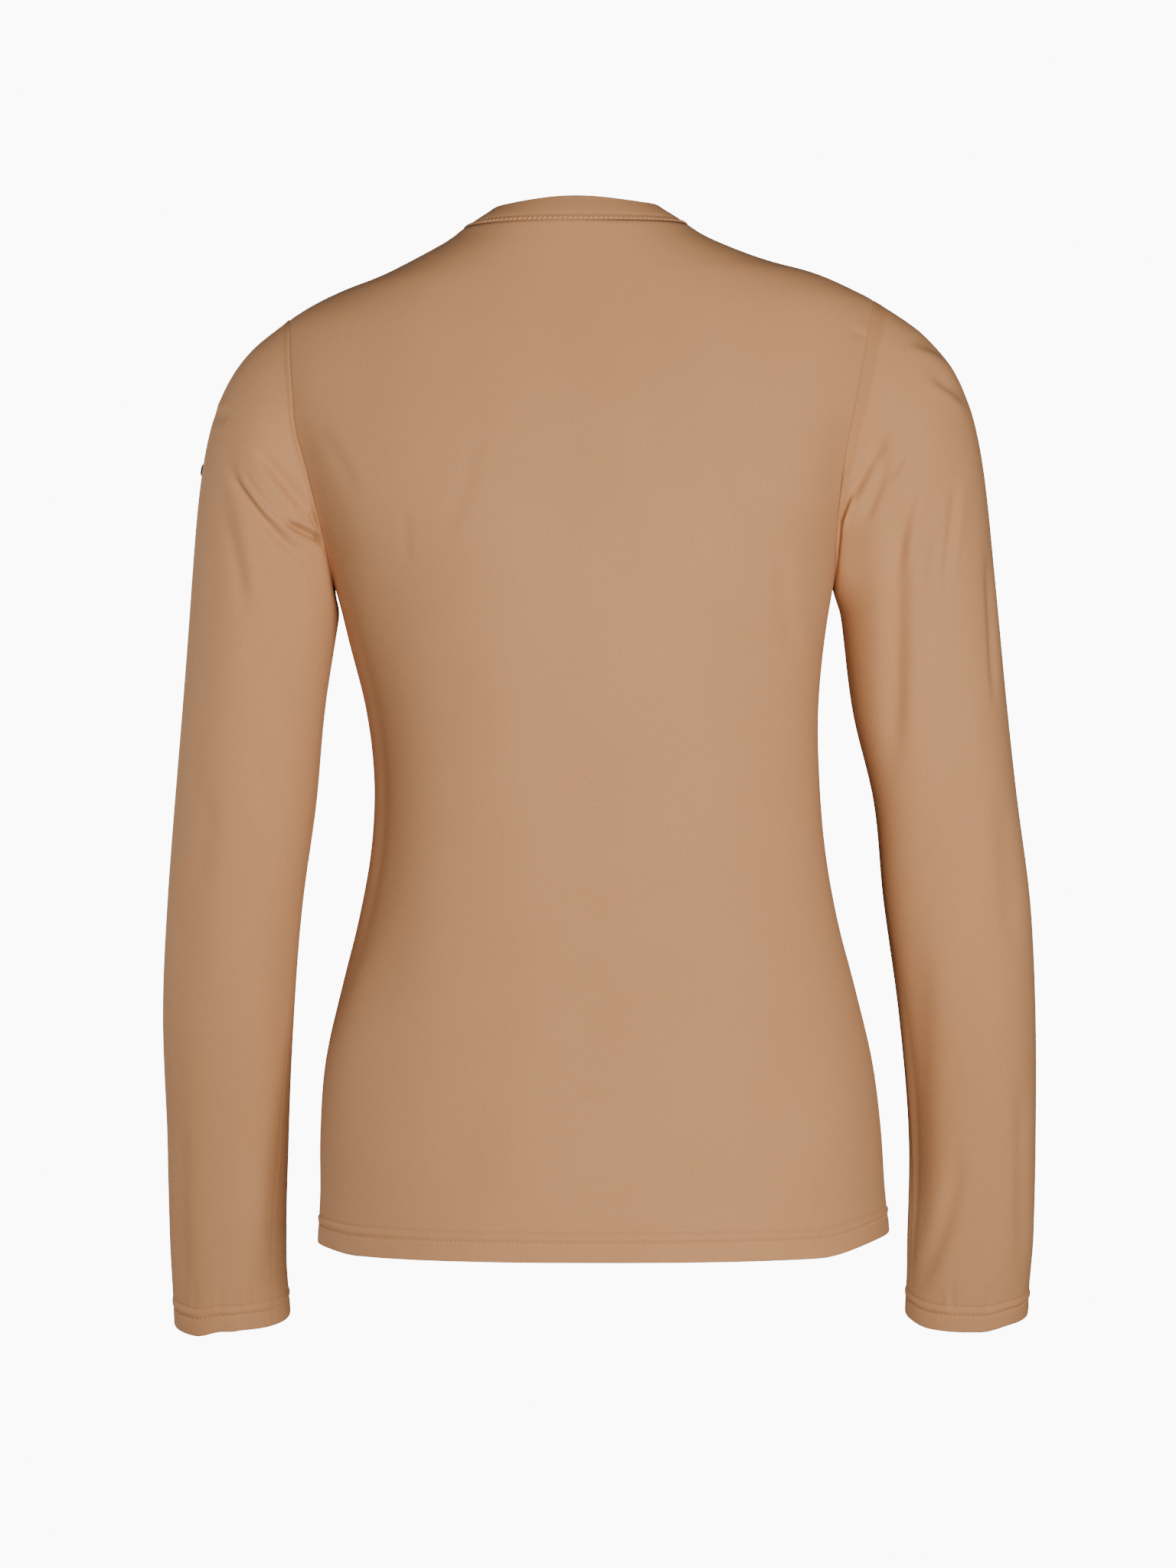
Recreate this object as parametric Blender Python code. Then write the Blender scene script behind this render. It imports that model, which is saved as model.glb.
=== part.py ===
"""Long-sleeve jersey top, filled out as if worn, with nobody in it.

Metres, +Z up. The front faces -Y, so the wearer's left is +X. The origin lies midway between the two
points where the shoulder seams meet the neckband. All sizes below are millimetres.

The cloth is one smooth surface, drawn through level sections of the body and through rings of the
sleeves, and cut along its seams into front, back, two sleeves and a neckband. Each piece is a wall that
lies inside that surface, and stops short of its seams by half the seam gap.
"""

import math

import bmesh
import bpy
import numpy as np

MM = 0.001

# Cloth
WALL = 1.5
HEM_WALL = 2.2  # the cloth is turned up and doubled at the hem and cuffs
HEM_DEPTH = 19.0
BAND_WALL = 2.0  # the neckband is folded double
SEAM_GAP = 0.3
JOIN = 0.0000001  # metres: points closer than this are one point
SHARP_ANGLE = math.radians(50.0)

# How finely the cloth is drawn
PANEL_COLUMNS = 24
SIDE_ROWS = 13
ARMHOLE_STEPS = 16
SHOULDER_ROWS = 6
CAP_RINGS = 10
SLEEVE_RINGS = 14
BAND_ROWS = 3
DRAWN_FINELY = 160  # points on a curve before it is divided evenly

# Body heights
HEM = -609.0
UNDERARM = -212.0
SHOULDER_POINT = -49.5
NECK_POINT = 0.0

# Level sections of the body. reach is the half width, and beside an armhole it is where the section would
# close if no sleeve were set in. back and front are the depths at the middle of each panel.
BODY_COLUMNS = ("height", "reach", "back", "front", "lean")
BODY = (
    (-609.0, 171.0, 112.0, 105.0, -16.5),
    (-580.0, 169.0, 112.0, 106.5, -16.0),
    (-540.0, 167.5, 110.0, 107.0, -15.0),
    (-500.0, 163.5, 104.0, 106.0, -14.0),
    (-455.0, 153.5, 93.0, 100.0, -13.5),
    (-414.0, 143.2, 83.5, 94.5, -13.3),
    (-373.0, 136.0, 78.0, 92.0, -13.4),
    (-331.0, 133.3, 79.5, 95.0, -12.6),
    (-290.0, 135.2, 86.0, 105.0, -9.9),
    (-250.0, 141.8, 93.0, 118.0, -6.6),
    (-212.0, 149.9, 96.5, 123.5, -4.6),
    (-185.0, 158.0, 97.0, 120.5, -2.3),
    (-160.0, 167.5, 95.5, 112.5, -0.5),
    (-140.0, 176.0, 92.7, 103.5, 0.4),
    (-120.0, 184.0, 89.0, 94.0, 0.8),
    (-100.0, 189.0, 84.5, 85.0, -0.4),
    (-80.0, 190.0, 79.5, 76.5, -1.5),
    (-65.0, 186.5, 75.5, 70.5, -2.6),
    (-56.0, 181.3, 73.0, 67.3, -3.2),
    (-49.5, 174.0, 71.2, 65.0, -3.6),
    (-41.7, 160.0, 69.1, 62.2, -3.2),
    (-32.3, 138.5, 66.7, 59.2, -2.5),
    (-25.0, 117.0, 65.0, 57.0, -2.0),
    (-17.0, 96.8, 63.3, 54.6, -1.4),
    (-8.0, 78.3, 61.5, 52.2, -0.7),
    (0.0, 67.0, 60.0, 50.0, 0.0),
)
BODY_ROUND = 2.4  # exponent of the sections: 2 is an ellipse, more is squarer
SHOULDER_TILT = 0.033  # the wearer's left shoulder hangs a little lower
TILT_HIGH = 150.0  # the tilt comes in over this height above the underarm
TILT_WIDE = 130.0  # and over this distance from the middle
# How the corners of the hem ride up, first the wearer's right and then the left. side is the sign of x.
CORNER_COLUMNS = ("side", "start", "width", "rise")
HEM_CORNERS = ((-1, 125.0, 50.0, 9.0), (1, 145.0, 25.0, 2.5))
CORNER_HIGH = 60.0

# How far out the armhole seam lies on each panel. It meets the reach of the body at both ends.
ARMHOLE_COLUMNS = ("height", "back", "front")
ARMHOLE = (
    (-212.0, 149.9, 149.9),
    (-185.0, 152.7, 150.5),
    (-145.0, 159.0, 153.0),
    (-120.0, 164.5, 156.0),
    (-95.0, 168.0, 161.0),
    (-49.5, 174.0, 174.0),
)

# The neckline drops at the middle of each panel, and so do the rows of cloth under it. A larger pinch
# keeps the drop nearer the middle.
DROP_COLUMNS = ("height", "back", "front", "pinch")
DROP = (
    (-609.0, 0.0, 0.0, 3.0),
    (-270.0, 0.0, 0.0, 3.0),
    (-212.0, 0.0, 8.0, 3.0),
    (-120.0, 0.5, 42.0, 3.0),
    (-49.5, 1.0, 64.0, 2.6),
    (-25.0, 1.3, 71.0, 1.8),
    (0.0, 1.5, 76.0, 1.15),
)

# The neckband, by the angle round the neck from the middle of the back
BAND_COLUMNS = ("angle", "inward", "up")
BAND = (
    (0.0, 9.0, 15.2),
    (45.0, 11.5, 11.5),
    (90.0, 19.0, 9.8),
    (135.0, 13.0, 15.0),
    (180.0, 8.0, 17.5),
)

# Rings of the sleeves. out and y place the middle of each ring, and tilt is how far its back hangs below
# level, in degrees.
SLEEVE_COLUMNS = ("height", "out", "y", "half_width", "half_depth", "tilt")
SLEEVES = {
    "left": (
        (-661.0, 212.4, -86.0, 35.7, 31.0, 14.0),
        (-612.0, 213.8, -69.0, 35.0, 31.0, 14.0),
        (-554.0, 212.8, -52.0, 36.5, 33.0, 13.0),
        (-472.0, 210.4, -32.0, 39.9, 36.0, 10.0),
        (-400.0, 205.4, -21.0, 41.1, 38.0, 6.0),
        (-345.0, 199.6, -15.0, 42.7, 40.0, 3.0),
        (-290.0, 194.5, -11.0, 43.1, 42.0, 1.0),
        (-235.0, 187.9, -9.0, 45.0, 46.0, 0.0),
    ),
    "right": (
        (-661.0, 241.0, -86.0, 37.8, 32.0, 14.0),
        (-612.0, 242.0, -69.0, 38.1, 32.0, 14.0),
        (-554.0, 241.9, -52.0, 38.6, 34.0, 13.0),
        (-472.0, 237.1, -32.0, 41.4, 37.0, 10.0),
        (-400.0, 229.6, -21.0, 43.7, 39.0, 6.0),
        (-345.0, 222.9, -15.0, 42.9, 41.0, 3.0),
        (-290.0, 213.1, -11.0, 46.3, 43.0, 1.0),
        (-235.0, 206.7, -9.0, 46.9, 46.5, 0.0),
    ),
}
SLEEVE_ROUND = 2.2
# How the cap leaves the armhole and turns down into the sleeve: its slope from level at the shoulder, in
# degrees, and how far the curve keeps its direction at the shoulder and at the upper arm.
CAP_COLUMNS = ("slope", "shoulder_reach", "arm_reach")
CAPS = {
    "left": (35.0, 62.0, 110.0),
    "right": (28.5, 76.0, 121.0),
}
UNDERARM_REACH = 10.0
JUST_BELOW = 1.0  # how far down the arm its direction at the first ring is taken

# The largest folds, as arcs seen from behind. depth goes into the cloth, and bow is how far the arc
# bends to the right of the line from its start to its end.
FOLD_COLUMNS = ("piece", "facing", "x0", "z0", "x1", "z1", "bow", "half_width", "depth")
FOLDS = (
    ("sleeve_left", "back", 153.0, -187.0, 192.0, -150.0, 5.0, 10.0, 4.0),
    ("sleeve_left", "back", 160.0, -200.0, 206.0, -146.0, 7.0, 10.0, 3.5),
    ("sleeve_left", "back", 156.0, -172.0, 188.0, -139.0, 2.0, 10.0, 2.5),
    ("sleeve_left", "back", 200.0, -235.0, 216.0, -170.0, 2.0, 10.0, 2.5),
    ("sleeve_right", "back", -160.0, -168.0, -182.0, -126.0, -3.0, 12.0, 3.5),
    ("sleeve_right", "back", -169.0, -176.0, -194.0, -140.0, -2.0, 10.0, 2.0),
    ("sleeve_right", "back", -184.0, -262.0, -188.0, -155.0, -3.0, 12.0, 2.5),
    ("sleeve_right", "back", -207.0, -240.0, -226.0, -156.0, -3.0, 10.0, 2.0),
    ("sleeve_left", "front", 152.0, -184.0, 190.0, -136.0, 4.0, 11.0, 3.5),
    ("sleeve_left", "front", 163.0, -206.0, 207.0, -160.0, 5.0, 11.0, 3.0),
    ("sleeve_left", "front", 196.0, -330.0, 205.0, -262.0, 2.0, 12.0, 2.0),
    ("sleeve_right", "front", -160.0, -186.0, -196.0, -134.0, -4.0, 11.0, 3.5),
    ("sleeve_right", "front", -172.0, -208.0, -216.0, -166.0, -5.0, 11.0, 3.0),
    ("sleeve_right", "front", -214.0, -350.0, -224.0, -280.0, -2.0, 12.0, 2.0),
)
FOLD_TURN = 0.4  # a fold has its full depth where this much of the cloth's direction is back or front

# The small plain tab on the outside of the wearer's left sleeve
TAB_HEIGHT_AT = -145.2
TAB_WIDTH = 13.0
TAB_HEIGHT = 7.2
TAB_THICK = 1.3
TAB_STEPS = 6

CLOTH_COLOUR = (0.539, 0.319, 0.191, 1.0)
CLOTH_ROUGHNESS = 0.9
TAB_COLOUR = (0.012, 0.011, 0.012, 1.0)
TAB_ROUGHNESS = 0.5


def column(table, names, name):
    """One named column of a table, as an array."""
    return np.array([row[names.index(name)] for row in table], float)


def smooth(table, names, name, at):
    """The named column at these places, on a smooth curve through the rows."""
    knots, values = column(table, names, names[0]), column(table, names, name)
    slopes = np.gradient(values, knots)
    at = np.clip(at, knots[0], knots[-1])
    k = np.clip(np.searchsorted(knots, at, side="right") - 1, 0, len(knots) - 2)
    step = knots[k + 1] - knots[k]
    s = (at - knots[k]) / step
    return (
        (1 + 2 * s) * (1 - s) ** 2 * values[k]
        + s * (1 - s) ** 2 * step * slopes[k]
        + s**2 * (3 - 2 * s) * values[k + 1]
        + s**2 * (s - 1) * step * slopes[k + 1]
    )


def ease(share):
    """0 to 1, with no corner at either end."""
    share = np.clip(share, 0.0, 1.0)
    return share * share * (3 - 2 * share)


def evenly(points, count):
    """The same curve, divided into this many equal lengths."""
    lengths = np.linalg.norm(np.diff(points, axis=0), axis=1)
    along = np.concatenate([[0.0], np.cumsum(lengths)])
    wanted = np.linspace(0.0, along[-1], count + 1)
    return np.stack([np.interp(wanted, along, points[:, k]) for k in range(3)], axis=1)


# The body


def body_depth(face, x, height):
    """How far the cloth lies behind or before the line through the side and shoulder seams."""
    middle = smooth(BODY, BODY_COLUMNS, face, height)
    share = np.clip(np.abs(x) / smooth(BODY, BODY_COLUMNS, "reach", height), 0.0, 1.0)
    return middle * (1 - share**BODY_ROUND) ** (1 / BODY_ROUND)


def stance(points):
    """The body stands with its weight on one leg: it leans, one shoulder hangs lower, and the corners of
    the hem ride up."""
    x, z = points[..., 0], points[..., 2]
    moved = points.copy()
    moved[..., 0] += smooth(BODY, BODY_COLUMNS, "lean", z)
    amount = ease((z - UNDERARM) / TILT_HIGH) * ease(np.abs(x) / TILT_WIDE)
    moved[..., 2] -= SHOULDER_TILT * x * amount
    for side, start, width, rise in HEM_CORNERS:
        moved[..., 2] += rise * ease((side * x - start) / width) * ease(1 - (z - HEM) / CORNER_HIGH)
    return moved


def panel_edge(face):
    """Where each row of a panel ends: up the side seam, the armhole and the shoulder seam."""
    side = np.linspace(HEM, UNDERARM, SIDE_ROWS + 1)
    side = np.concatenate([side[:1], [HEM + HEM_DEPTH], side[1:-1]])
    turn = np.linspace(0.0, math.pi, ARMHOLE_STEPS + 1)
    armhole = UNDERARM + (SHOULDER_POINT - UNDERARM) * (1 - np.cos(turn)) / 2
    fine = np.linspace(SHOULDER_POINT, NECK_POINT, DRAWN_FINELY)
    reach = smooth(BODY, BODY_COLUMNS, "reach", fine)
    shoulder = np.interp(np.linspace(-reach[0], -reach[-1], SHOULDER_ROWS + 1), -reach, fine)[1:]
    heights = np.concatenate([side, armhole, shoulder])
    outs = np.concatenate([
        smooth(BODY, BODY_COLUMNS, "reach", side),
        smooth(ARMHOLE, ARMHOLE_COLUMNS, face, armhole),
        smooth(BODY, BODY_COLUMNS, "reach", shoulder),
    ])
    return heights, outs


def panel_row(face, height, out):
    """One row of a panel, from the wearer's right to the left, before the body takes its stance."""
    turn = np.linspace(0.0, math.pi / 2, DRAWN_FINELY)
    x = out * np.sin(turn) ** (2 / BODY_ROUND)
    pinch = smooth(DROP, DROP_COLUMNS, "pinch", height)
    z = height - smooth(DROP, DROP_COLUMNS, face, height) * np.cos(turn) ** pinch
    y = body_depth(face, x, z) * (1 if face == "back" else -1)
    half = evenly(np.stack([x, y, z], axis=1), PANEL_COLUMNS // 2)
    return np.concatenate([half[:0:-1] * (-1, 1, 1), half])


def panel(face):
    heights, outs = panel_edge(face)
    return stance(np.stack([panel_row(face, h, o) for h, o in zip(heights, outs)]))


# The sleeves


def armhole_loop(panels, side):
    """The armhole seam, from the underarm up the back and down the front."""
    first = SIDE_ROWS + 1
    last = first + ARMHOLE_STEPS
    end = -1 if side == "left" else 0
    back = panels["back"][first : last + 1, end]
    front = panels["front"][first : last + 1, end]
    return np.concatenate([back, front[-2::-1]])


def sleeve_rings(side, heights):
    """Rings round the arm, each starting at its inner side and passing the back first."""
    sign = 1 if side == "left" else -1
    turn = np.linspace(0.0, 2 * math.pi, 2 * ARMHOLE_STEPS + 1)
    power = 2 / SLEEVE_ROUND
    outward = -np.sign(np.cos(turn)) * np.abs(np.cos(turn)) ** power
    behind = np.sign(np.sin(turn)) * np.abs(np.sin(turn)) ** power
    rings = []
    for height in heights:
        out, y, half_width, half_depth, tilt = (
            smooth(SLEEVES[side], SLEEVE_COLUMNS, name, height) for name in SLEEVE_COLUMNS[1:]
        )
        x = sign * (out + half_width * outward)
        tilt = math.radians(tilt)
        y = y + half_depth * behind * math.cos(tilt)
        z = height - half_depth * behind * math.sin(tilt)
        rings.append(np.stack([x, y, z], axis=1))
    return np.stack(rings)


def cap_rings(side, loop, arm_ring, below):
    """Rings that fan out from the armhole to the upper arm. They close up under the arm."""
    cap = dict(zip(CAP_COLUMNS, CAPS[side]))
    slope = math.radians(cap["slope"])
    sign = 1 if side == "left" else -1
    high = (1 - np.cos(np.linspace(0.0, 2 * math.pi, len(loop))))[:, None] / 2
    leave = high * (sign * math.cos(slope), 0.0, -math.sin(slope)) + (1 - high) * (0.0, 0.0, -1.0)
    leave /= np.linalg.norm(leave, axis=1)[:, None]
    down = below - arm_ring
    down /= np.linalg.norm(down, axis=1)[:, None]
    leaving = loop + leave * (UNDERARM_REACH + (cap["shoulder_reach"] - UNDERARM_REACH) * high)
    arriving = arm_ring - down * (UNDERARM_REACH + (cap["arm_reach"] - UNDERARM_REACH) * high)
    s = np.linspace(0.0, 1.0, CAP_RINGS + 1)[:-1, None, None]
    return (
        (1 - s) ** 3 * loop
        + 3 * s * (1 - s) ** 2 * leaving
        + 3 * s**2 * (1 - s) * arriving
        + s**3 * arm_ring
    )


def sleeve(panels, side):
    cuff, top = SLEEVES[side][0][0], SLEEVES[side][-1][0]
    heights = np.linspace(top, cuff, SLEEVE_RINGS + 1)
    heights = np.concatenate([heights[:-1], [cuff + HEM_DEPTH], [cuff]])
    rings = sleeve_rings(side, heights)
    below = sleeve_rings(side, [top - JUST_BELOW])[0]
    cap = cap_rings(side, armhole_loop(panels, side), rings[0], below)
    return np.concatenate([cap, rings])


# The neckband


def neckband(panels):
    """From the neck seam up to the folded edge, starting at the wearer's right shoulder, round the back."""
    seam = np.concatenate([panels["back"][-1], panels["front"][-1][-2::-1]])
    middle = seam[:-1].mean(axis=0)
    turn = np.linspace(0.0, 2 * math.pi, len(seam))
    angle = np.degrees(np.abs((turn - math.pi / 2 + math.pi) % (2 * math.pi) - math.pi))
    inward = middle - seam
    inward[:, 2] = 0.0
    inward /= np.linalg.norm(inward, axis=1)[:, None]
    edge = seam + inward * smooth(BAND, BAND_COLUMNS, "inward", angle)[:, None]
    edge[:, 2] += smooth(BAND, BAND_COLUMNS, "up", angle)
    share = np.linspace(0.0, 1.0, BAND_ROWS + 1)[:, None, None]
    return seam + (edge - seam) * share


# Folds


def folded(name, points, normals):
    """The cloth with its folds pressed in. A fold dies out at its two ends, and where the cloth turns
    away from the side that it is on."""
    sunk = np.zeros(points.shape[:2])
    for row in FOLDS:
        fold = dict(zip(FOLD_COLUMNS, row))
        if fold["piece"] != name:
            continue
        start = np.array([fold["x0"], fold["z0"]])
        line = np.array([fold["x1"], fold["z1"]]) - start
        away = points[..., [0, 2]] - start
        share = np.clip(away @ line / (line @ line), 0.0, 1.0)
        arc = 4 * share * (1 - share)
        right = away @ np.array([line[1], -line[0]]) / np.linalg.norm(line) - fold["bow"] * arc
        across = ease(1 - np.abs(right) / fold["half_width"])
        faces_it = ease(normals[..., 1] * (1 if fold["facing"] == "back" else -1) / FOLD_TURN)
        sunk += fold["depth"] * across * ease(arc) * faces_it
    return points - normals * sunk[..., None]


# Walls


def along(lines, closed):
    """The direction of the lines at each point, also across the join of a closed ring."""
    if closed:
        lines = np.concatenate([lines[-2:-1], lines, lines[1:2]])
        return lines[2:] - lines[:-2]
    return np.gradient(lines, axis=0)


def surface_normals(points, closed):
    """The direction square to the cloth at each point of a grid."""
    across = along(points.swapaxes(0, 1), closed).swapaxes(0, 1)
    normals = np.cross(across, along(points, False))
    return normals / np.linalg.norm(normals, axis=2)[..., None]


def share_along_seams(grids, normals):
    """Where pieces meet they lean inward the same way, so that their walls stay side by side."""
    sums = {}
    for name, points in grids.items():
        for point, normal in zip(points.reshape(-1, 3), normals[name].reshape(-1, 3)):
            key = tuple(np.round(point, 3))
            sums[key] = sums.get(key, 0) + normal
    for name, points in grids.items():
        shared = np.array([sums[tuple(np.round(point, 3))] for point in points.reshape(-1, 3)])
        shared /= np.linalg.norm(shared, axis=1)[:, None]
        normals[name] = shared.reshape(points.shape)


def pulled_back(points, normals, closed):
    """The outline of a piece, moved back square to its seams by half the gap."""
    moved = points.copy()
    sides = [(points, normals, moved, closed)]
    if not closed:
        sides.append(tuple(grid.swapaxes(0, 1) for grid in (points, normals, moved)) + (False,))
    for grid, lean, result, ring in sides:
        for edge, beside in ((0, 1), (-1, -2)):
            back = np.cross(lean[edge], along(grid[edge], ring))
            back *= np.sign((back * (grid[beside] - grid[edge])).sum())
            result[edge] += back / np.linalg.norm(back, axis=1)[:, None] * SEAM_GAP / 2
    return moved


def wall(name, outer, inner, closed, collection, material):
    """A closed wall between two grids of points. It is made as a flat sheet and then shaped."""
    rows, columns = outer.shape[:2]
    bm = bmesh.new()
    bmesh.ops.create_grid(bm, x_segments=columns - 1, y_segments=rows - 1, size=1.0)
    inside = bm.verts.layers.float_vector.new("inside")
    for vertex, out_point, in_point in zip(bm.verts, outer.reshape(-1, 3), inner.reshape(-1, 3)):
        vertex.co = out_point * MM
        vertex[inside] = in_point * MM
    if closed:
        bmesh.ops.remove_doubles(bm, verts=bm.verts, dist=JOIN)
    made = bmesh.ops.extrude_face_region(bm, geom=bm.faces[:])
    for vertex in made["geom"]:
        if isinstance(vertex, bmesh.types.BMVert):
            vertex.co = vertex[inside]
    bmesh.ops.recalc_face_normals(bm, faces=bm.faces)
    mesh = bpy.data.meshes.new(name)
    bm.to_mesh(mesh)
    bm.free()
    mesh.shade_smooth()
    mesh.set_sharp_from_angle(angle=SHARP_ANGLE)
    mesh.materials.append(material)
    collection.objects.link(bpy.data.objects.new(name, mesh))


def thickness(rows, hem_rows, single, doubled):
    """How thick the wall is at each row. The turned-up rows are doubled."""
    thick = np.full(rows, single)
    thick[hem_rows] = doubled
    return thick[:, None, None]


def plain_material(name, colour, roughness):
    material = bpy.data.materials.new(name)
    material.use_nodes = True
    shader = material.node_tree.nodes["Principled BSDF"]
    shader.inputs["Base Color"].default_value = colour
    shader.inputs["Roughness"].default_value = roughness
    return material


def tab_grids(points, normals):
    """The tab lies on the outside of the sleeve. Its outline is an oval, drawn on a square of points."""
    outside = ARMHOLE_STEPS
    row = np.interp(-TAB_HEIGHT_AT, -points[:, outside, 2], np.arange(len(points)))
    near = int(row)
    column_step = np.linalg.norm(points[near, outside + 1] - points[near, outside])
    row_step = np.linalg.norm(points[near + 1, outside] - points[near, outside])
    side = np.linspace(-1.0, 1.0, TAB_STEPS + 1)
    u, v = np.meshgrid(side, side)
    wide = outside + u * np.sqrt(1 - v**2 / 2) * TAB_WIDTH / 2 / column_step
    high = row + v * np.sqrt(1 - u**2 / 2) * TAB_HEIGHT / 2 / row_step
    i, j = np.floor(high).astype(int), np.floor(wide).astype(int)
    a, b = (high - i)[..., None], (wide - j)[..., None]

    def between(grid):
        lower = grid[i, j] * (1 - b) + grid[i, j + 1] * b
        upper = grid[i + 1, j] * (1 - b) + grid[i + 1, j + 1] * b
        return lower * (1 - a) + upper * a

    on_sleeve, away = between(points), between(normals)
    away /= np.linalg.norm(away, axis=2)[..., None]
    return on_sleeve + away * (SEAM_GAP + TAB_THICK), on_sleeve + away * SEAM_GAP


def build():
    for item in list(bpy.data.objects):
        bpy.data.objects.remove(item, do_unlink=True)
    collection = bpy.data.collections.new("long_sleeve_top")
    bpy.context.scene.collection.children.link(collection)

    grids = {"back": panel("back"), "front": panel("front")}
    panels = dict(grids)
    grids["sleeve_left"] = sleeve(panels, "left")
    grids["sleeve_right"] = sleeve(panels, "right")
    grids["neckband"] = neckband(panels)
    # Which way round each grid is drawn, which rows are turned up, and whether it closes into a tube
    facing = {"back": -1, "front": 1, "sleeve_left": 1, "sleeve_right": -1, "neckband": -1}
    turned_up = {"back": slice(0, 2), "front": slice(0, 2), "neckband": slice(0, None)}
    tubes = ("sleeve_left", "sleeve_right", "neckband")

    normals = {name: surface_normals(grids[name], name in tubes) * facing[name] for name in grids}
    share_along_seams(grids, normals)
    for name, points in grids.items():
        single, doubled = (WALL, BAND_WALL if name == "neckband" else HEM_WALL)
        thick = thickness(len(points), turned_up.get(name, slice(-2, None)), single, doubled)
        outer = pulled_back(folded(name, points, normals[name]), normals[name], name in tubes)
        cloth = plain_material(name, CLOTH_COLOUR, CLOTH_ROUGHNESS)
        wall(name, outer, outer - normals[name] * thick, name in tubes, collection, cloth)

    outer, inner = tab_grids(grids["sleeve_left"], normals["sleeve_left"])
    tab_finish = plain_material("sleeve_tab", TAB_COLOUR, TAB_ROUGHNESS)
    wall("sleeve_tab", outer, inner, False, collection, tab_finish)


build()
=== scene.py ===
import math

import bmesh
import bpy
import numpy as np
from mathutils import Matrix, Vector


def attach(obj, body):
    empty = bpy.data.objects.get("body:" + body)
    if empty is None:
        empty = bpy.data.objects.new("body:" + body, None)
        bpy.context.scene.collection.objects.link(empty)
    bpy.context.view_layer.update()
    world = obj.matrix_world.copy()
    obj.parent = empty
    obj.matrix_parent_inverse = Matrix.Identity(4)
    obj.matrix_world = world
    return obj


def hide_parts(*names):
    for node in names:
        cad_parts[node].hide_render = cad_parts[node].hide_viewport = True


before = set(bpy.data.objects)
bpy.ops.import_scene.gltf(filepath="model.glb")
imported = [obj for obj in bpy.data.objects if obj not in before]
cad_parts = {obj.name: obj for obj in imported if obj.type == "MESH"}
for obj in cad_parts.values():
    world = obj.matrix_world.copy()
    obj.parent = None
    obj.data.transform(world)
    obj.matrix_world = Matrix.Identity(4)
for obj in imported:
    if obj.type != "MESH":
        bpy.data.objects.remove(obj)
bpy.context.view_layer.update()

# ---- Back panel ------------------------------------------------------------------------------------
# One piece of cotton and elastane jersey, cut from the neckline to the hem and sewn to the front at the
# shoulders and sides. It is stretched lightly over the shoulder blades and hips, so it lies almost
# smooth. Sizes are in millimetres and the shape is the solids' own, drawn finely.

MM = 0.001
CLOTH = 0.8
HEM, UNDERARM, SHOULDER_POINT, NECK_POINT = -609.0, -212.0, -49.5, 0.0

BODY_COLUMNS = ("height", "reach", "back", "front", "lean")
BODY = (
    (-609.0, 171.0, 112.0, 105.0, -16.5),
    (-580.0, 169.0, 112.0, 106.5, -16.0),
    (-540.0, 167.5, 110.0, 107.0, -15.0),
    (-500.0, 163.5, 104.0, 106.0, -14.0),
    (-455.0, 153.5, 93.0, 100.0, -13.5),
    (-414.0, 143.2, 83.5, 94.5, -13.3),
    (-373.0, 136.0, 78.0, 92.0, -13.4),
    (-331.0, 133.3, 79.5, 95.0, -12.6),
    (-290.0, 135.2, 86.0, 105.0, -9.9),
    (-250.0, 141.8, 93.0, 118.0, -6.6),
    (-212.0, 149.9, 96.5, 123.5, -4.6),
    (-185.0, 158.0, 97.0, 120.5, -2.3),
    (-160.0, 167.5, 95.5, 112.5, -0.5),
    (-140.0, 176.0, 92.7, 103.5, 0.4),
    (-120.0, 184.0, 89.0, 94.0, 0.8),
    (-100.0, 189.0, 84.5, 85.0, -0.4),
    (-80.0, 190.0, 79.5, 76.5, -1.5),
    (-65.0, 186.5, 75.5, 70.5, -2.6),
    (-56.0, 181.3, 73.0, 67.3, -3.2),
    (-49.5, 174.0, 71.2, 65.0, -3.6),
    (-41.7, 160.0, 69.1, 62.2, -3.2),
    (-32.3, 138.5, 66.7, 59.2, -2.5),
    (-25.0, 117.0, 65.0, 57.0, -2.0),
    (-17.0, 96.8, 63.3, 54.6, -1.4),
    (-8.0, 78.3, 61.5, 52.2, -0.7),
    (0.0, 67.0, 60.0, 50.0, 0.0),
)
BODY_ROUND = 2.4
# The shoulders tilt a little to one side. The hem rises toward its corners: side, where that starts, over
# what width, and by how much.
SHOULDER_TILT, TILT_HIGH, TILT_WIDE = 0.033, 150.0, 130.0
HEM_CORNERS, CORNER_HIGH = ((-1, 125.0, 50.0, 9.0), (1, 145.0, 25.0, 2.5)), 60.0

ARMHOLE_COLUMNS = ("height", "back", "front")
ARMHOLE = (
    (-212.0, 149.9, 149.9),
    (-185.0, 152.7, 150.5),
    (-145.0, 159.0, 153.0),
    (-120.0, 164.5, 156.0),
    (-95.0, 168.0, 161.0),
    (-49.5, 174.0, 174.0),
)

DROP_COLUMNS = ("height", "back", "front", "pinch")
DROP = (
    (-609.0, 0.0, 0.0, 3.0),
    (-270.0, 0.0, 0.0, 3.0),
    (-212.0, 0.0, 8.0, 3.0),
    (-120.0, 0.5, 42.0, 3.0),
    (-49.5, 1.0, 64.0, 2.6),
    (-25.0, 1.3, 71.0, 1.8),
    (0.0, 1.5, 76.0, 1.15),
)

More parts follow.
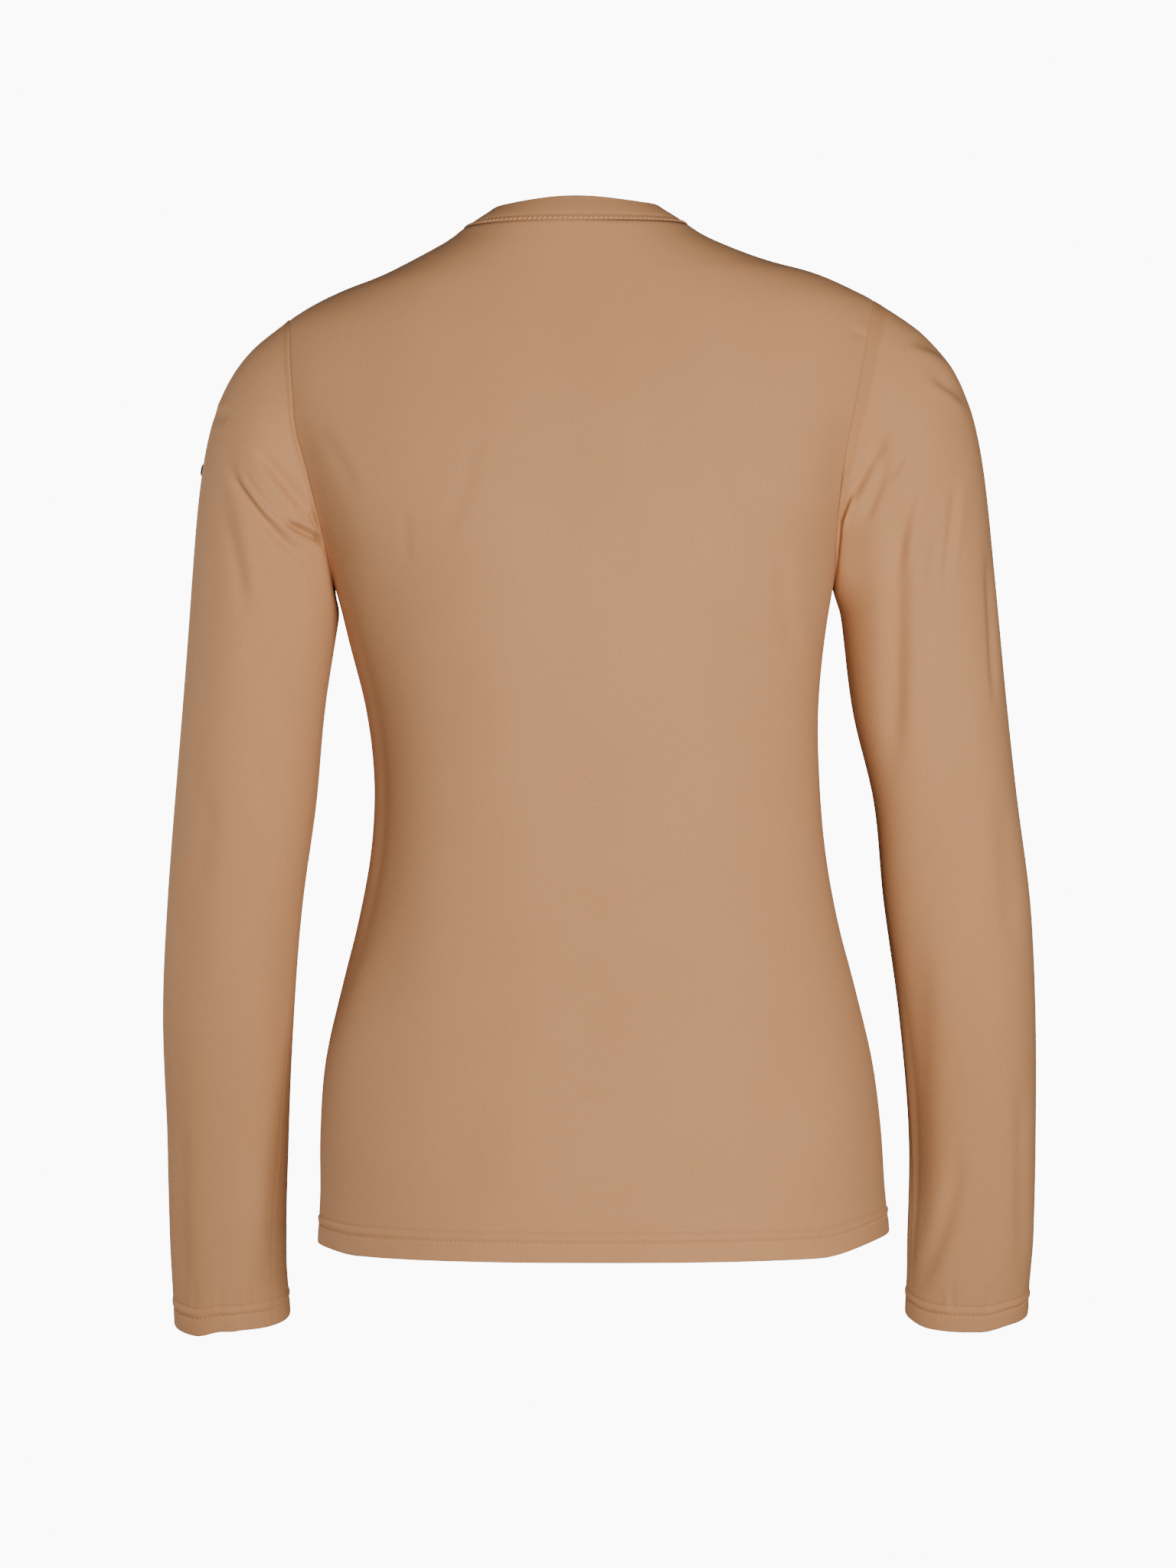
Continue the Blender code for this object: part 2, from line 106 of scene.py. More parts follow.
# How finely it is drawn. Points are close together beside seams and at the hem, where the relief is fine.
# The hem has two rows of stitches, its turned-up part ends above them, and from PLAIN_FROM up the rows are
# evenly spaced.
BESIDE_SEAM = (0.0, 0.4, 0.9, 1.6, 2.5, 3.6, 5.0, 6.8, 9.0)
HEM_LINES = (0.9, 2.4, 4.2, 6.2, 8.2, 9.8, 10.7, 11.2, 11.7, 12.2, 12.8, 13.7, 14.6, 15.5, 16.3, 16.8,
             17.3, 17.8, 18.5, 19.6, 21.2, 23.2)
STITCH_ROWS = (11.7, 17.3)
TURNED_UP, PLAIN_FROM = 19.6, 26.0
SIDE_ROWS, ARMHOLE_STEPS, SHOULDER_ROWS, HALF_COLUMNS = 100, 96, 34, 66
SHOULDER_SAMPLES, ROW_SAMPLES = 400, 900


def smooth(table, names, name, at):
    """The named column at these places, on a smooth curve through the rows."""
    knots = np.array([row[0] for row in table], float)
    values = np.array([row[names.index(name)] for row in table], float)
    slopes = np.gradient(values, knots)
    at = np.clip(at, knots[0], knots[-1])
    k = np.clip(np.searchsorted(knots, at, side="right") - 1, 0, len(knots) - 2)
    step = knots[k + 1] - knots[k]
    s = (at - knots[k]) / step
    return (
        (1 + 2 * s) * (1 - s) ** 2 * values[k]
        + s * (1 - s) ** 2 * step * slopes[k]
        + s**2 * (3 - 2 * s) * values[k + 1]
        + s**2 * (s - 1) * step * slopes[k + 1]
    )


def ease(share):
    """0 to 1, with no corner at either end."""
    share = np.clip(share, 0.0, 1.0)
    return share * share * (3 - 2 * share)


def bell(at, middle, width):
    """1 in the middle, and almost 0 from two widths away."""
    return np.exp(-(((at - middle) / width) ** 2))


def divided(points, near, count):
    """The same curve, with points at these distances from its start and then evenly to its end. Also
    gives each point's distance."""
    lengths = np.linalg.norm(np.diff(points, axis=0), axis=1)
    along = np.concatenate([[0.0], np.cumsum(lengths)])
    scale = min(1.0, along[-1] / (2 * near[-1]))
    near = np.array(near) * scale
    wanted = np.concatenate([near, np.linspace(near[-1], along[-1], count + 1)[1:]])
    return np.stack([np.interp(wanted, along, points[:, k]) for k in range(3)], axis=1), wanted


def panel(face):
    """The grid of a panel, hem to neck and the wearer's right to left, and the distance to the seam
    beside each point."""
    side = np.linspace(HEM + PLAIN_FROM, UNDERARM, SIDE_ROWS + 1)[:-1]
    side = np.concatenate([HEM + np.array((0.0,) + HEM_LINES), side])
    turn = np.linspace(0.0, math.pi, ARMHOLE_STEPS + 1)
    armhole = UNDERARM + (SHOULDER_POINT - UNDERARM) * (1 - np.cos(turn)) / 2
    fine = np.linspace(SHOULDER_POINT, NECK_POINT, SHOULDER_SAMPLES)
    reach = smooth(BODY, BODY_COLUMNS, "reach", fine)
    shoulder = np.interp(np.linspace(-reach[0], -reach[-1], SHOULDER_ROWS + 1), -reach, fine)[1:]
    heights = np.concatenate([side, armhole, shoulder])
    outs = np.concatenate([
        smooth(BODY, BODY_COLUMNS, "reach", side),
        smooth(ARMHOLE, ARMHOLE_COLUMNS, face, armhole),
        smooth(BODY, BODY_COLUMNS, "reach", shoulder),
    ])
    turn = np.linspace(math.pi / 2, 0.0, ROW_SAMPLES)
    rows, beside = [], []
    for height, out in zip(heights, outs):
        x = out * np.sin(turn) ** (2 / BODY_ROUND)
        pinch = smooth(DROP, DROP_COLUMNS, "pinch", height)
        z = height - smooth(DROP, DROP_COLUMNS, face, height) * np.cos(turn) ** pinch
        share = np.clip(x / smooth(BODY, BODY_COLUMNS, "reach", z), 0.0, 1.0)
        y = smooth(BODY, BODY_COLUMNS, face, z) * (1 - share**BODY_ROUND) ** (1 / BODY_ROUND)
        y *= 1 if face == "back" else -1
        half, distance = divided(np.stack([x, y, z], axis=1), BESIDE_SEAM, HALF_COLUMNS)
        rows.append(np.concatenate([half * (-1, 1, 1), half[-2::-1]]))
        beside.append(np.concatenate([distance, distance[-2::-1]]))
    points = np.stack(rows)
    x, above_hem = points[..., 0].copy(), points[..., 2] - HEM
    amount = ease((points[..., 2] - UNDERARM) / TILT_HIGH) * ease(np.abs(x) / TILT_WIDE)
    points[..., 0] += smooth(BODY, BODY_COLUMNS, "lean", points[..., 2])
    points[..., 2] -= SHOULDER_TILT * x * amount
    for side, start, width, rise in HEM_CORNERS:
        points[..., 2] += rise * ease((side * x - start) / width) * ease(1 - above_hem / CORNER_HIGH)
    return points, np.stack(beside), heights


# The hollow behind each armpit, as a line in x and z that the cloth and its seam sink along: x and z of
# its start, x and z of its end, half width, depth.
HOLLOW_FADE = 30.0
HOLLOWS = ((-158.0, -190.0, -168.0, -134.0, 17.0, 6.5), (152.0, -192.0, 163.0, -136.0, 17.0, 6.5))


def hollowed(points):
    """The back of the garment with its armpit hollows."""
    moved = points.copy()
    for x0, z0, x1, z1, half_width, depth in HOLLOWS:
        away_x, away_z = points[..., 0] - x0, points[..., 2] - z0
        run_x, run_z = x1 - x0, z1 - z0
        share = np.clip((away_x * run_x + away_z * run_z) / (run_x**2 + run_z**2), 0.0, 1.0)
        gap = np.hypot(away_x - share * run_x, away_z - share * run_z)
        moved[..., 1] -= depth * bell(gap, 0.0, half_width) * ease(points[..., 1] / HOLLOW_FADE)
    return moved


def along(lines, closed):
    """The direction of the lines at each point, also across the join of a closed ring."""
    if closed:
        lines = np.concatenate([lines[-2:-1], lines, lines[1:2]])
        return lines[2:] - lines[:-2]
    return np.gradient(lines, axis=0)


def square_to(points, closed, facing):
    """The outward direction at each point of a grid."""
    across = along(points.swapaxes(0, 1), closed).swapaxes(0, 1)
    normals = np.cross(across, along(points, False)) * facing
    return normals / np.maximum(np.linalg.norm(normals, axis=2)[..., None], 1e-9)


# A crease is an arc, placed as the camera sees it from behind on the plane through the side seams. depth
# goes into the cloth and lip stands up beside it, on the right of the line from its start to its end,
# where bow also bends it. Its row is: x and z of its start, x and z of its end, bow, half width, depth,
# lip. Then how steep its sides are, the lip's place in half widths, the share of its length that each end
# fades over, and how far a point has to face its side.
CAMERA_AT = (-7.3, 2800.0, -333.0)
CREASE_STEEP, LIP_AWAY, CREASE_ENDS, SEEN_FROM = 2.2, 1.25, 0.3, 0.35


def creased(points, normals, toward_back, creases):
    """How far each point of the cloth stands out from the creases pressed into one side of it."""
    seen = ease(normals[..., 1] * (1 if toward_back else -1) / SEEN_FROM)
    nearer = (CAMERA_AT[1] / (CAMERA_AT[1] - points[..., 1]))[..., None] if toward_back else 1.0
    place = np.array(CAMERA_AT) + (points - CAMERA_AT) * nearer
    relief = np.zeros(points.shape[:2])
    for x0, z0, x1, z1, bow, half_width, depth, lip in creases:
        length = math.hypot(x1 - x0, z1 - z0)
        run_x, run_z = (x1 - x0) / length, (z1 - z0) / length
        away_x, away_z = place[..., 0] - x0, place[..., 2] - z0
        share = (away_x * run_x + away_z * run_z) / length
        inside = np.clip(share, 0.0, 1.0)
        right = away_x * run_z - away_z * run_x - 4 * bow * inside * (1 - inside)
        beyond = np.maximum(np.abs(share - 0.5) - 0.5, 0.0) * length
        fade = ease(inside / CREASE_ENDS) * ease((1 - inside) / CREASE_ENDS) * bell(beyond, 0.0, half_width)
        trough = np.exp(-((right / half_width) ** 2) * CREASE_STEEP)
        ridge = np.exp(-(((right - LIP_AWAY * half_width) / half_width) ** 2) * CREASE_STEEP)
        relief += (lip * ridge - depth * trough) * fade * seen
    return relief


# The roll rises over ROLL_UP, and at the allowance's edge it falls over ROLL_DOWN to this share of its
# lift.
ROLL_UP, ROLL_DOWN, LIFT_KEPT = 1.3, 2.5, 0.4


def seam_relief(distance, lift, allowance):
    """Beside a seam the cloth rolls over the seam allowance that lies under it. On the seam itself each
    piece keeps its place, so that they meet."""
    over = LIFT_KEPT + (1 - LIFT_KEPT) * ease((allowance - distance) / ROLL_DOWN)
    return lift * ease(distance / ROLL_UP) * over


# Measured for the rows from a little below the underarm up and for this many columns, against a seam line
# that starts lower and has each of its steps cut in parts.
SEAM_ROWS_BELOW, SEAM_BELOW, SEAM_COLUMNS, SEAM_PARTS = 12.0, 30.0, 34, 5


def to_seam(points, beside):
    """The distance to the seam at a panel's side. Near the shoulder point the rows run almost along the
    armhole, and there the seam is nearer than it is along the row."""
    beside = beside.copy()
    rows = points[:, 0, 2] > UNDERARM - SEAM_ROWS_BELOW
    steps = np.linspace(0.0, 1.0, SEAM_PARTS + 1)[:-1, None, None]
    for edge, columns in (
        (points[:, 0], slice(1, SEAM_COLUMNS)),
        (points[:, -1], slice(-SEAM_COLUMNS, -1)),
    ):
        seam = (edge[:-1] + (edge[1:] - edge[:-1]) * steps).reshape(-1, 3)
        seam = seam[seam[:, 2] > UNDERARM - SEAM_BELOW]
        away = np.linalg.norm(points[rows, columns][:, :, None] - seam, axis=3).min(axis=2)
        beside[rows, columns] = np.minimum(beside[rows, columns], away)
    return beside


def hem_relief(height, across):
    """A turned hem is pressed flat at its two rows of stitches, and puffs between them and below them.
    Above the turned-up edge it dips. The thread pulls it into small puckers along the rows."""
    pucker = 0.5 + 0.3 * np.sin(across / 4.1 + 1.3 * np.sin(across / 17.0)) + 0.2 * np.sin(across / 9.7)
    rows = sum(bell(height, row, 0.75) for row in STITCH_ROWS)
    between = bell(height, sum(STITCH_ROWS) / 2, 1.9)
    below = bell(height, 5.5, 4.0)
    above = bell(height, 21.5, 2.6)
    puffs = between * (0.45 + 0.45 * pucker) + below * 0.4 * pucker
    return puffs - 0.55 * rows - above * 0.15 * pucker


def drape(points, seed):
    """Long faint hollows, such as thin jersey shows where it hangs between the places that hold it."""
    x, z = points[..., 0] + seed * 37.0, points[..., 2] + seed * 61.0
    return (
        0.30 * np.sin(x / 9.5 + 1.1 * np.sin(z / 83.0))
        + 0.35 * np.sin(x / 17.0 - z / 240.0 + 1.7)
        + 0.30 * np.sin(z / 41.0 + 1.4 * np.sin(x / 52.0))
    )


FOLD_BEND, FOLD_POINTS = 0.88, 9


def turned_up(points, normals, last):
    """The cloth goes round the fold at the edge of the first row, and up again behind itself. last is the
    row where the turned-up part ends."""
    down = points[0] - points[1]
    down /= np.linalg.norm(down, axis=1)[:, None]
    middle = points[1] - normals[1] * FOLD_BEND
    fold = np.stack([
        middle + FOLD_BEND * (normals[1] * math.cos(turn) + down * math.sin(turn))
        for turn in np.linspace(math.pi, 0, FOLD_POINTS)
    ])
    inside = points[1:last] - normals[1:last] * 2 * FOLD_BEND
    return np.concatenate([inside[:0:-1], fold, points[2:]])


JOIN_WITHIN = 0.002


def sheet_mesh(name, points, closed, facing, shaded=None):
    """A grid of points becomes one sheet of cloth, with a UV map that gives every point its place on the
    flat cloth, in metres. shaded is how much painted shade darkens each point beside the armhole seam."""
    rows, columns = points.shape[:2]
    bm = bmesh.new()
    bmesh.ops.create_grid(bm, x_segments=columns - 1, y_segments=rows - 1, size=1.0)
    if facing < 0:
        bmesh.ops.reverse_faces(bm, faces=bm.faces)
    mesh = bpy.data.meshes.new(name)
    bm.to_mesh(mesh)
    mesh.vertices.foreach_set("co", (points * MM).astype(np.float32).ravel())
    step_u = np.linalg.norm(np.diff(points, axis=1), axis=2)
    step_v = np.linalg.norm(np.diff(points, axis=0), axis=2)
    u = np.concatenate([np.zeros((rows, 1)), np.cumsum(step_u, axis=1)], axis=1)
    u -= u[:, columns // 2 : columns // 2 + 1]
    v = np.concatenate([np.zeros((1, columns)), np.cumsum(step_v, axis=0)])
    corner = np.zeros(len(mesh.loops), dtype=np.int32)
    mesh.loops.foreach_get("vertex_index", corner)
    place = np.stack([u.ravel(), v.ravel()], axis=1)[corner] * MM
    mesh.uv_layers.new(name="cut").data.foreach_set("uv", place.astype(np.float32).ravel())
    if shaded is not None:
        layer = mesh.attributes.new("painted_seam_shade", "FLOAT", "POINT")
        layer.data.foreach_set("value", shaded.astype(np.float32).ravel())
    bm.clear()
    bm.from_mesh(mesh)
    if closed:
        bmesh.ops.remove_doubles(bm, verts=bm.verts, dist=JOIN_WITHIN * MM)
    bm.to_mesh(mesh)
    bm.free()
    mesh.shade_smooth()
    return mesh


def piece(name, mesh, material, slot_name, *nodes):
    """Puts a finished piece in the scene, on the garment's one body, in place of these solids."""
    item = bpy.data.objects.new(name, mesh)
    bpy.context.scene.collection.objects.link(item)
    mesh.materials.clear()
    mesh.materials.append(material)
    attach(item, "root")
    if nodes:
        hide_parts(*nodes)
    return item


def cloth_piece(name, mesh, node_name):
    """A sheet of jersey 0.8 mm thick."""
    item = piece(name, mesh, jersey, "jersey", node_name)
    wall = item.modifiers.new("cloth", "SOLIDIFY")
    wall.thickness = CLOTH * MM
    wall.offset = -1.0
    wall.use_even_offset = False
    return item


def linear(hex_colour):
    """An sRGB hex colour as the linear colour that a shader takes."""
    parts = [int(hex_colour[k : k + 2], 16) / 255 for k in (1, 3, 5)]
    return tuple(c / 12.92 if c <= 0.04045 else ((c + 0.055) / 1.055) ** 2.4 for c in parts) + (1.0,)


def add(tree, kind, settings=(), inputs=(), links=()):
    """Adds one shader node, with its settings, its input values and its links."""
    item = tree.nodes.new("ShaderNode" + kind)
    for key, value in dict(settings).items():
        setattr(item, key, value)
    for key, value in dict(inputs).items():
        item.inputs[key].default_value = value
    for key, socket in dict(links).items():
        tree.links.new(socket, item.inputs[key])
    return item


# Single jersey in combed cotton with elastane, piece dyed. Fine vertical wales, 1.3 mm apart here where
# the real ones are about 0.6 mm, so that they show. Matt, with a faint bloom of fibre ends at the edges.
# Beside the armhole seams the sleeves' colour is darkened over the allowance: this is painted shade.
jersey = bpy.data.materials.new("cotton_elastane_jersey")
jersey.use_nodes = True
tree = jersey.node_tree
shader = tree.nodes["Principled BSDF"]
shader.inputs["Roughness"].default_value = 0.86
shader.inputs["Specular IOR Level"].default_value = 0.22
shader.inputs["Sheen Weight"].default_value = 0.06
shader.inputs["Sheen Roughness"].default_value = 0.6
place = add(tree, "UVMap", {"uv_map": "cut"})
split = add(tree, "SeparateXYZ", links={0: place.outputs[0]})
WALE, COURSE = 1.3, 1.0
wale = add(tree, "Math", {"operation": "MULTIPLY"}, {1: 2 * math.pi / (WALE * MM)}, {0: split.outputs[0]})
wale = add(tree, "Math", {"operation": "SINE"}, links={0: wale.outputs[0]})
course = add(tree, "Math", {"operation": "MULTIPLY"}, {1: 2 * math.pi / (COURSE * MM)},
             {0: split.outputs[1]})
course = add(tree, "Math", {"operation": "SINE"}, links={0: course.outputs[0]})
knit = add(tree, "Math", {"operation": "MULTIPLY"}, links={0: wale.outputs[0], 1: course.outputs[0]})
fuzz = add(tree, "TexNoise", inputs={"Scale": 1 / (2.2 * MM), "Detail": 4.0, "Roughness": 0.6},
           links={"Vector": place.outputs[0]})
tone = add(tree, "TexNoise", inputs={"Scale": 1 / (55.0 * MM), "Detail": 3.0, "Roughness": 0.5},
           links={"Vector": place.outputs[0]})
dyed = add(tree, "Mix", {"data_type": "RGBA"},
           {"A": linear("#C49D7D"), "B": linear("#CBA484")}, {"Factor": tone.outputs[0]})
flecked = add(tree, "Mix", {"data_type": "RGBA"}, {"B": linear("#B68D6C")}, {"A": dyed.outputs[2]})
fleck = add(tree, "MapRange", inputs={"From Min": 0.45, "From Max": 0.75, "To Max": 0.25},
            links={"Value": fuzz.outputs[0]})
tree.links.new(fleck.outputs[0], flecked.inputs["Factor"])
# Painted shade: this attribute darkens the sleeves' colour toward #A37A52 beside the armhole seams.
painted_seam_shade = add(tree, "Attribute", {"attribute_name": "painted_seam_shade"})
shade = add(tree, "Mix", {"data_type": "RGBA"}, {"B": linear("#A37A52")},
            {"Factor": painted_seam_shade.outputs["Fac"], "A": flecked.outputs[2]})
tree.links.new(shade.outputs[2], shader.inputs["Base Color"])
loops = add(tree, "Bump", inputs={"Strength": 0.25, "Distance": 0.08 * MM},
            links={"Height": knit.outputs[0]})
fibres = add(tree, "Bump", inputs={"Strength": 0.3, "Distance": 0.10 * MM},
             links={"Height": fuzz.outputs[0], "Normal": loops.outputs[0]})
tree.links.new(fibres.outputs[0], shader.inputs["Normal"])

# The last row is the broad hollow from the left shoulder blade down to the hip.
BACK_CREASES = (
    (-122.6, -186.0, -131.5, -262.0, -2.0, 7.0, 0.9, 0.4),
    (-163.0, -60.5, -175.0, -64.5, 0.0, 3.5, 0.8, 0.3),
    (156.0, -118.0, 132.0, -163.0, 2.0, 6.0, 0.7, 0.3),
    (103.5, -166.0, 102.5, -205.0, 0.0, 5.0, 0.5, 0.2),
    (60.0, -110.0, 84.0, -190.0, 6.0, 8.0, 0.5, 0.2),
    (-70.0, -120.0, -96.0, -196.0, -5.0, 8.0, 0.5, 0.2),
    (118.0, -110.0, 121.0, -520.0, 0.0, 42.0, 4.2, 0.0),
)


# Beside the seams and above the hem the cloth's own hollows fade in over these distances.
CALM_BESIDE, CALM_HEM, CALM_ABOVE_HEM = 25.0, 24.0, 30.0
PANEL_LIFT, PANEL_ALLOWANCE = 0.15, 5.0
# A panel's relief is zero on its seams, and is whole this far from them.
WHOLE_BESIDE, WHOLE_BELOW_NECK = 4.0, 1.5
ACROSS_ROW, ACROSS_SHIFT = 8, 500.0


def dressed_panel(face, creases, seed):
    """The panel with its relief pressed in, and the stitched rows of its hem."""
    facing = -1 if face == "back" else 1
    points, beside, heights = panel(face)
    points = hollowed(points)
    beside = to_seam(points, beside)
    normals = square_to(points, False, facing)
    across = np.cumsum(np.linalg.norm(np.diff(points[ACROSS_ROW], axis=0), axis=1))
    across = np.concatenate([[0.0], across])[None, :] + ACROSS_SHIFT * seed
    above_hem = (heights - HEM)[:, None]
    calm = ease(beside / CALM_BESIDE) * ease((above_hem - CALM_HEM) / CALM_ABOVE_HEM)
    relief = creased(points, normals, face == "back", creases) + drape(points, seed) * calm
    relief = (relief + hem_relief(above_hem, across)) * ease(beside / WHOLE_BESIDE)
    relief += seam_relief(beside, PANEL_LIFT, PANEL_ALLOWANCE)
    below_neck = np.cumsum(np.linalg.norm(np.diff(points[::-1], axis=0), axis=2), axis=0)
    below_neck = np.concatenate([np.zeros_like(below_neck[:1]), below_neck])[::-1]
    relief *= ease(below_neck / WHOLE_BELOW_NECK)
    points = points + normals * relief[..., None]
    normals = square_to(points, False, facing)
    rows = [int(np.argmin(np.abs(heights - HEM - row))) for row in STITCH_ROWS]
    threads = [(points[row], normals[row]) for row in rows]
    last = int(np.argmin(np.abs(heights - HEM - TURNED_UP)))
    return turned_up(points, normals, last), threads


back_grid, back_threads = dressed_panel("back", BACK_CREASES, 1.0)
back_mesh = sheet_mesh("back_panel", back_grid, False, -1)
cloth_piece("back_panel", back_mesh, "back")

# ---- Front panel -----------------------------------------------------------------------------------
# The same jersey, cut with a lower neckline and sewn to the back. The photo doesn't show it, so it is
# finished plainly, with the soft creases that run from the underarms toward the chest.

# All of these are guessed.
FRONT_CREASES = (
    (138.0, -176.0, 78.0, -214.0, -6.0, 9.0, 1.1, 0.4),
    (139.0, -206.0, 96.0, -268.0, -5.0, 13.0, 0.8, 0.2),
    (-146.0, -170.0, -84.0, -206.0, 5.0, 8.0, 1.1, 0.5),
    (-150.0, -196.0, -104.0, -244.0, 6.0, 9.0, 1.0, 0.4),
    (60.0, -96.0, 92.0, -150.0, 4.0, 9.0, 0.7, 0.3),
    (-66.0, -100.0, -94.0, -152.0, -4.0, 9.0, 0.6, 0.3),
    (94.0, -330.0, 112.0, -392.0, 3.0, 8.0, 0.7, 0.3),
    (-118.0, -336.0, -136.0, -402.0, -3.0, 8.0, 0.7, 0.3),
)
front_grid, front_threads = dressed_panel("front", FRONT_CREASES, 2.0)
front_mesh = sheet_mesh("front_panel", front_grid, False, 1)
cloth_piece("front_panel", front_mesh, "front")

# ---- Sleeves ---------------------------------------------------------------------------------------
# Two set-in sleeves in the same jersey, each one piece, closed by a seam under the arm and sewn round the
# armhole. The arms hang a little forward of the body, so the cloth is full at the back of the upper arm
# and falls into slanting creases there.

SLEEVE_COLUMNS = ("height", "out", "y", "half_width", "half_depth", "tilt")
SLEEVES = {
    "left": (
        (-661.0, 212.4, -86.0, 35.7, 31.0, 14.0),
        (-612.0, 213.8, -69.0, 35.0, 31.0, 14.0),
        (-554.0, 212.8, -52.0, 36.5, 33.0, 13.0),
        (-472.0, 210.4, -32.0, 39.9, 36.0, 10.0),
        (-400.0, 205.4, -21.0, 41.1, 38.0, 6.0),
        (-345.0, 199.6, -15.0, 42.7, 40.0, 3.0),
        (-290.0, 194.5, -11.0, 43.1, 42.0, 1.0),
        (-235.0, 187.9, -9.0, 45.0, 46.0, 0.0),
    ),
    "right": (
        (-661.0, 241.0, -86.0, 37.8, 32.0, 14.0),
        (-612.0, 242.0, -69.0, 38.1, 32.0, 14.0),
        (-554.0, 241.9, -52.0, 38.6, 34.0, 13.0),
        (-472.0, 237.1, -32.0, 41.4, 37.0, 10.0),
        (-400.0, 229.6, -21.0, 43.7, 39.0, 6.0),
        (-345.0, 222.9, -15.0, 42.9, 41.0, 3.0),
        (-290.0, 213.1, -11.0, 46.3, 43.0, 1.0),
        (-235.0, 206.7, -9.0, 46.9, 46.5, 0.0),
    ),
}
SLEEVE_ROUND = 2.2
# How steeply the cloth leaves the shoulder point, in degrees, and how far its curve reaches from there and
# from the arm.
CAPS = {"left": (35.0, 62.0, 110.0), "right": (28.5, 76.0, 121.0)}
UNDERARM_REACH, PATH_SAMPLES = 10.0, 400
CUFF_LINES = (0.9, 2.2, 3.8, 5.8, 7.8, 9.2, 10.0, 10.4, 10.8, 11.2, 11.8, 12.8, 13.7, 14.6, 15.5, 16.0,
              16.5, 17.0, 17.6, 18.6, 20.2, 22.4)
CUFF_STITCH_ROWS = (10.8, 16.5)
# Its rows lie about this much lower than those that hem_relief is made for. Then the height that its cloth
# turns up to, and the one where evenly spaced rings start.
CUFF_LOWER, CUFF_TURNED_UP, CUFF_PLAIN_FROM = 0.85, 18.6, 25.5
# How much the outer and the inner edge of each cuff rise, and the share of its half width where that
# starts. It is whole HANG_OUTER or HANG_INNER further out, and fades out up to HANG_HIGH.
CUFF_HANG = {"left": ((-4.2, 0.1), (0.9, 0.0)), "right": ((2.4, 0.2), (1.5, 0.7))}
HANG_OUTER, HANG_INNER, HANG_HIGH = 0.5, 0.3, 45.0
CAP_RINGS, UPPER_RINGS, LOWER_RINGS = 56, 52, 74
ELBOW = -340.0
BESIDE_ARMHOLE = (0.0, 0.4, 0.9, 1.6, 2.5, 3.6, 5.0, 6.8, 8.4, 10.0)
# The width of the allowance that the armhole's cloth rolls over, and its lift. Then how far the seam under
# the arm drifts to the back toward the cuff, its groove and the ridge beside it.
ARMHOLE_ROLL = {"left": (4.8, 0.45), "right": (8.8, 0.2)}
SEAM_DRIFT = {"left": 24.0, "right": 6.0}
GROOVE_DEEP, GROOVE_WIDE, RIDGE_HIGH, RIDGE_AT, RIDGE_WIDE = 0.32, 0.8, 0.1, 2.2, 1.4
CALM_ARMHOLE, CALM_SEAM, SLEEVE_DRAPE, AROUND_SHIFT = 30.0, 12.0, 1.3, 77.0
WHOLE_BELOW_ARMHOLE, GROOVE_FROM, GROOVE_WHOLE = 2.4, 2.0, 6.0
# The cap's rings are all given this height, which keeps them clear of the cuff's relief.
CAP_HEIGHT = 500.0
# How much painted shade darkens the sleeve over the armhole's allowance, and how that starts and fades.
PAINTED_SHADE_DARK, PAINTED_SHADE_BY, PAINTED_SHADE_PAST, PAINTED_SHADE_FADE = 0.27, 1.5, 0.5, 1.4

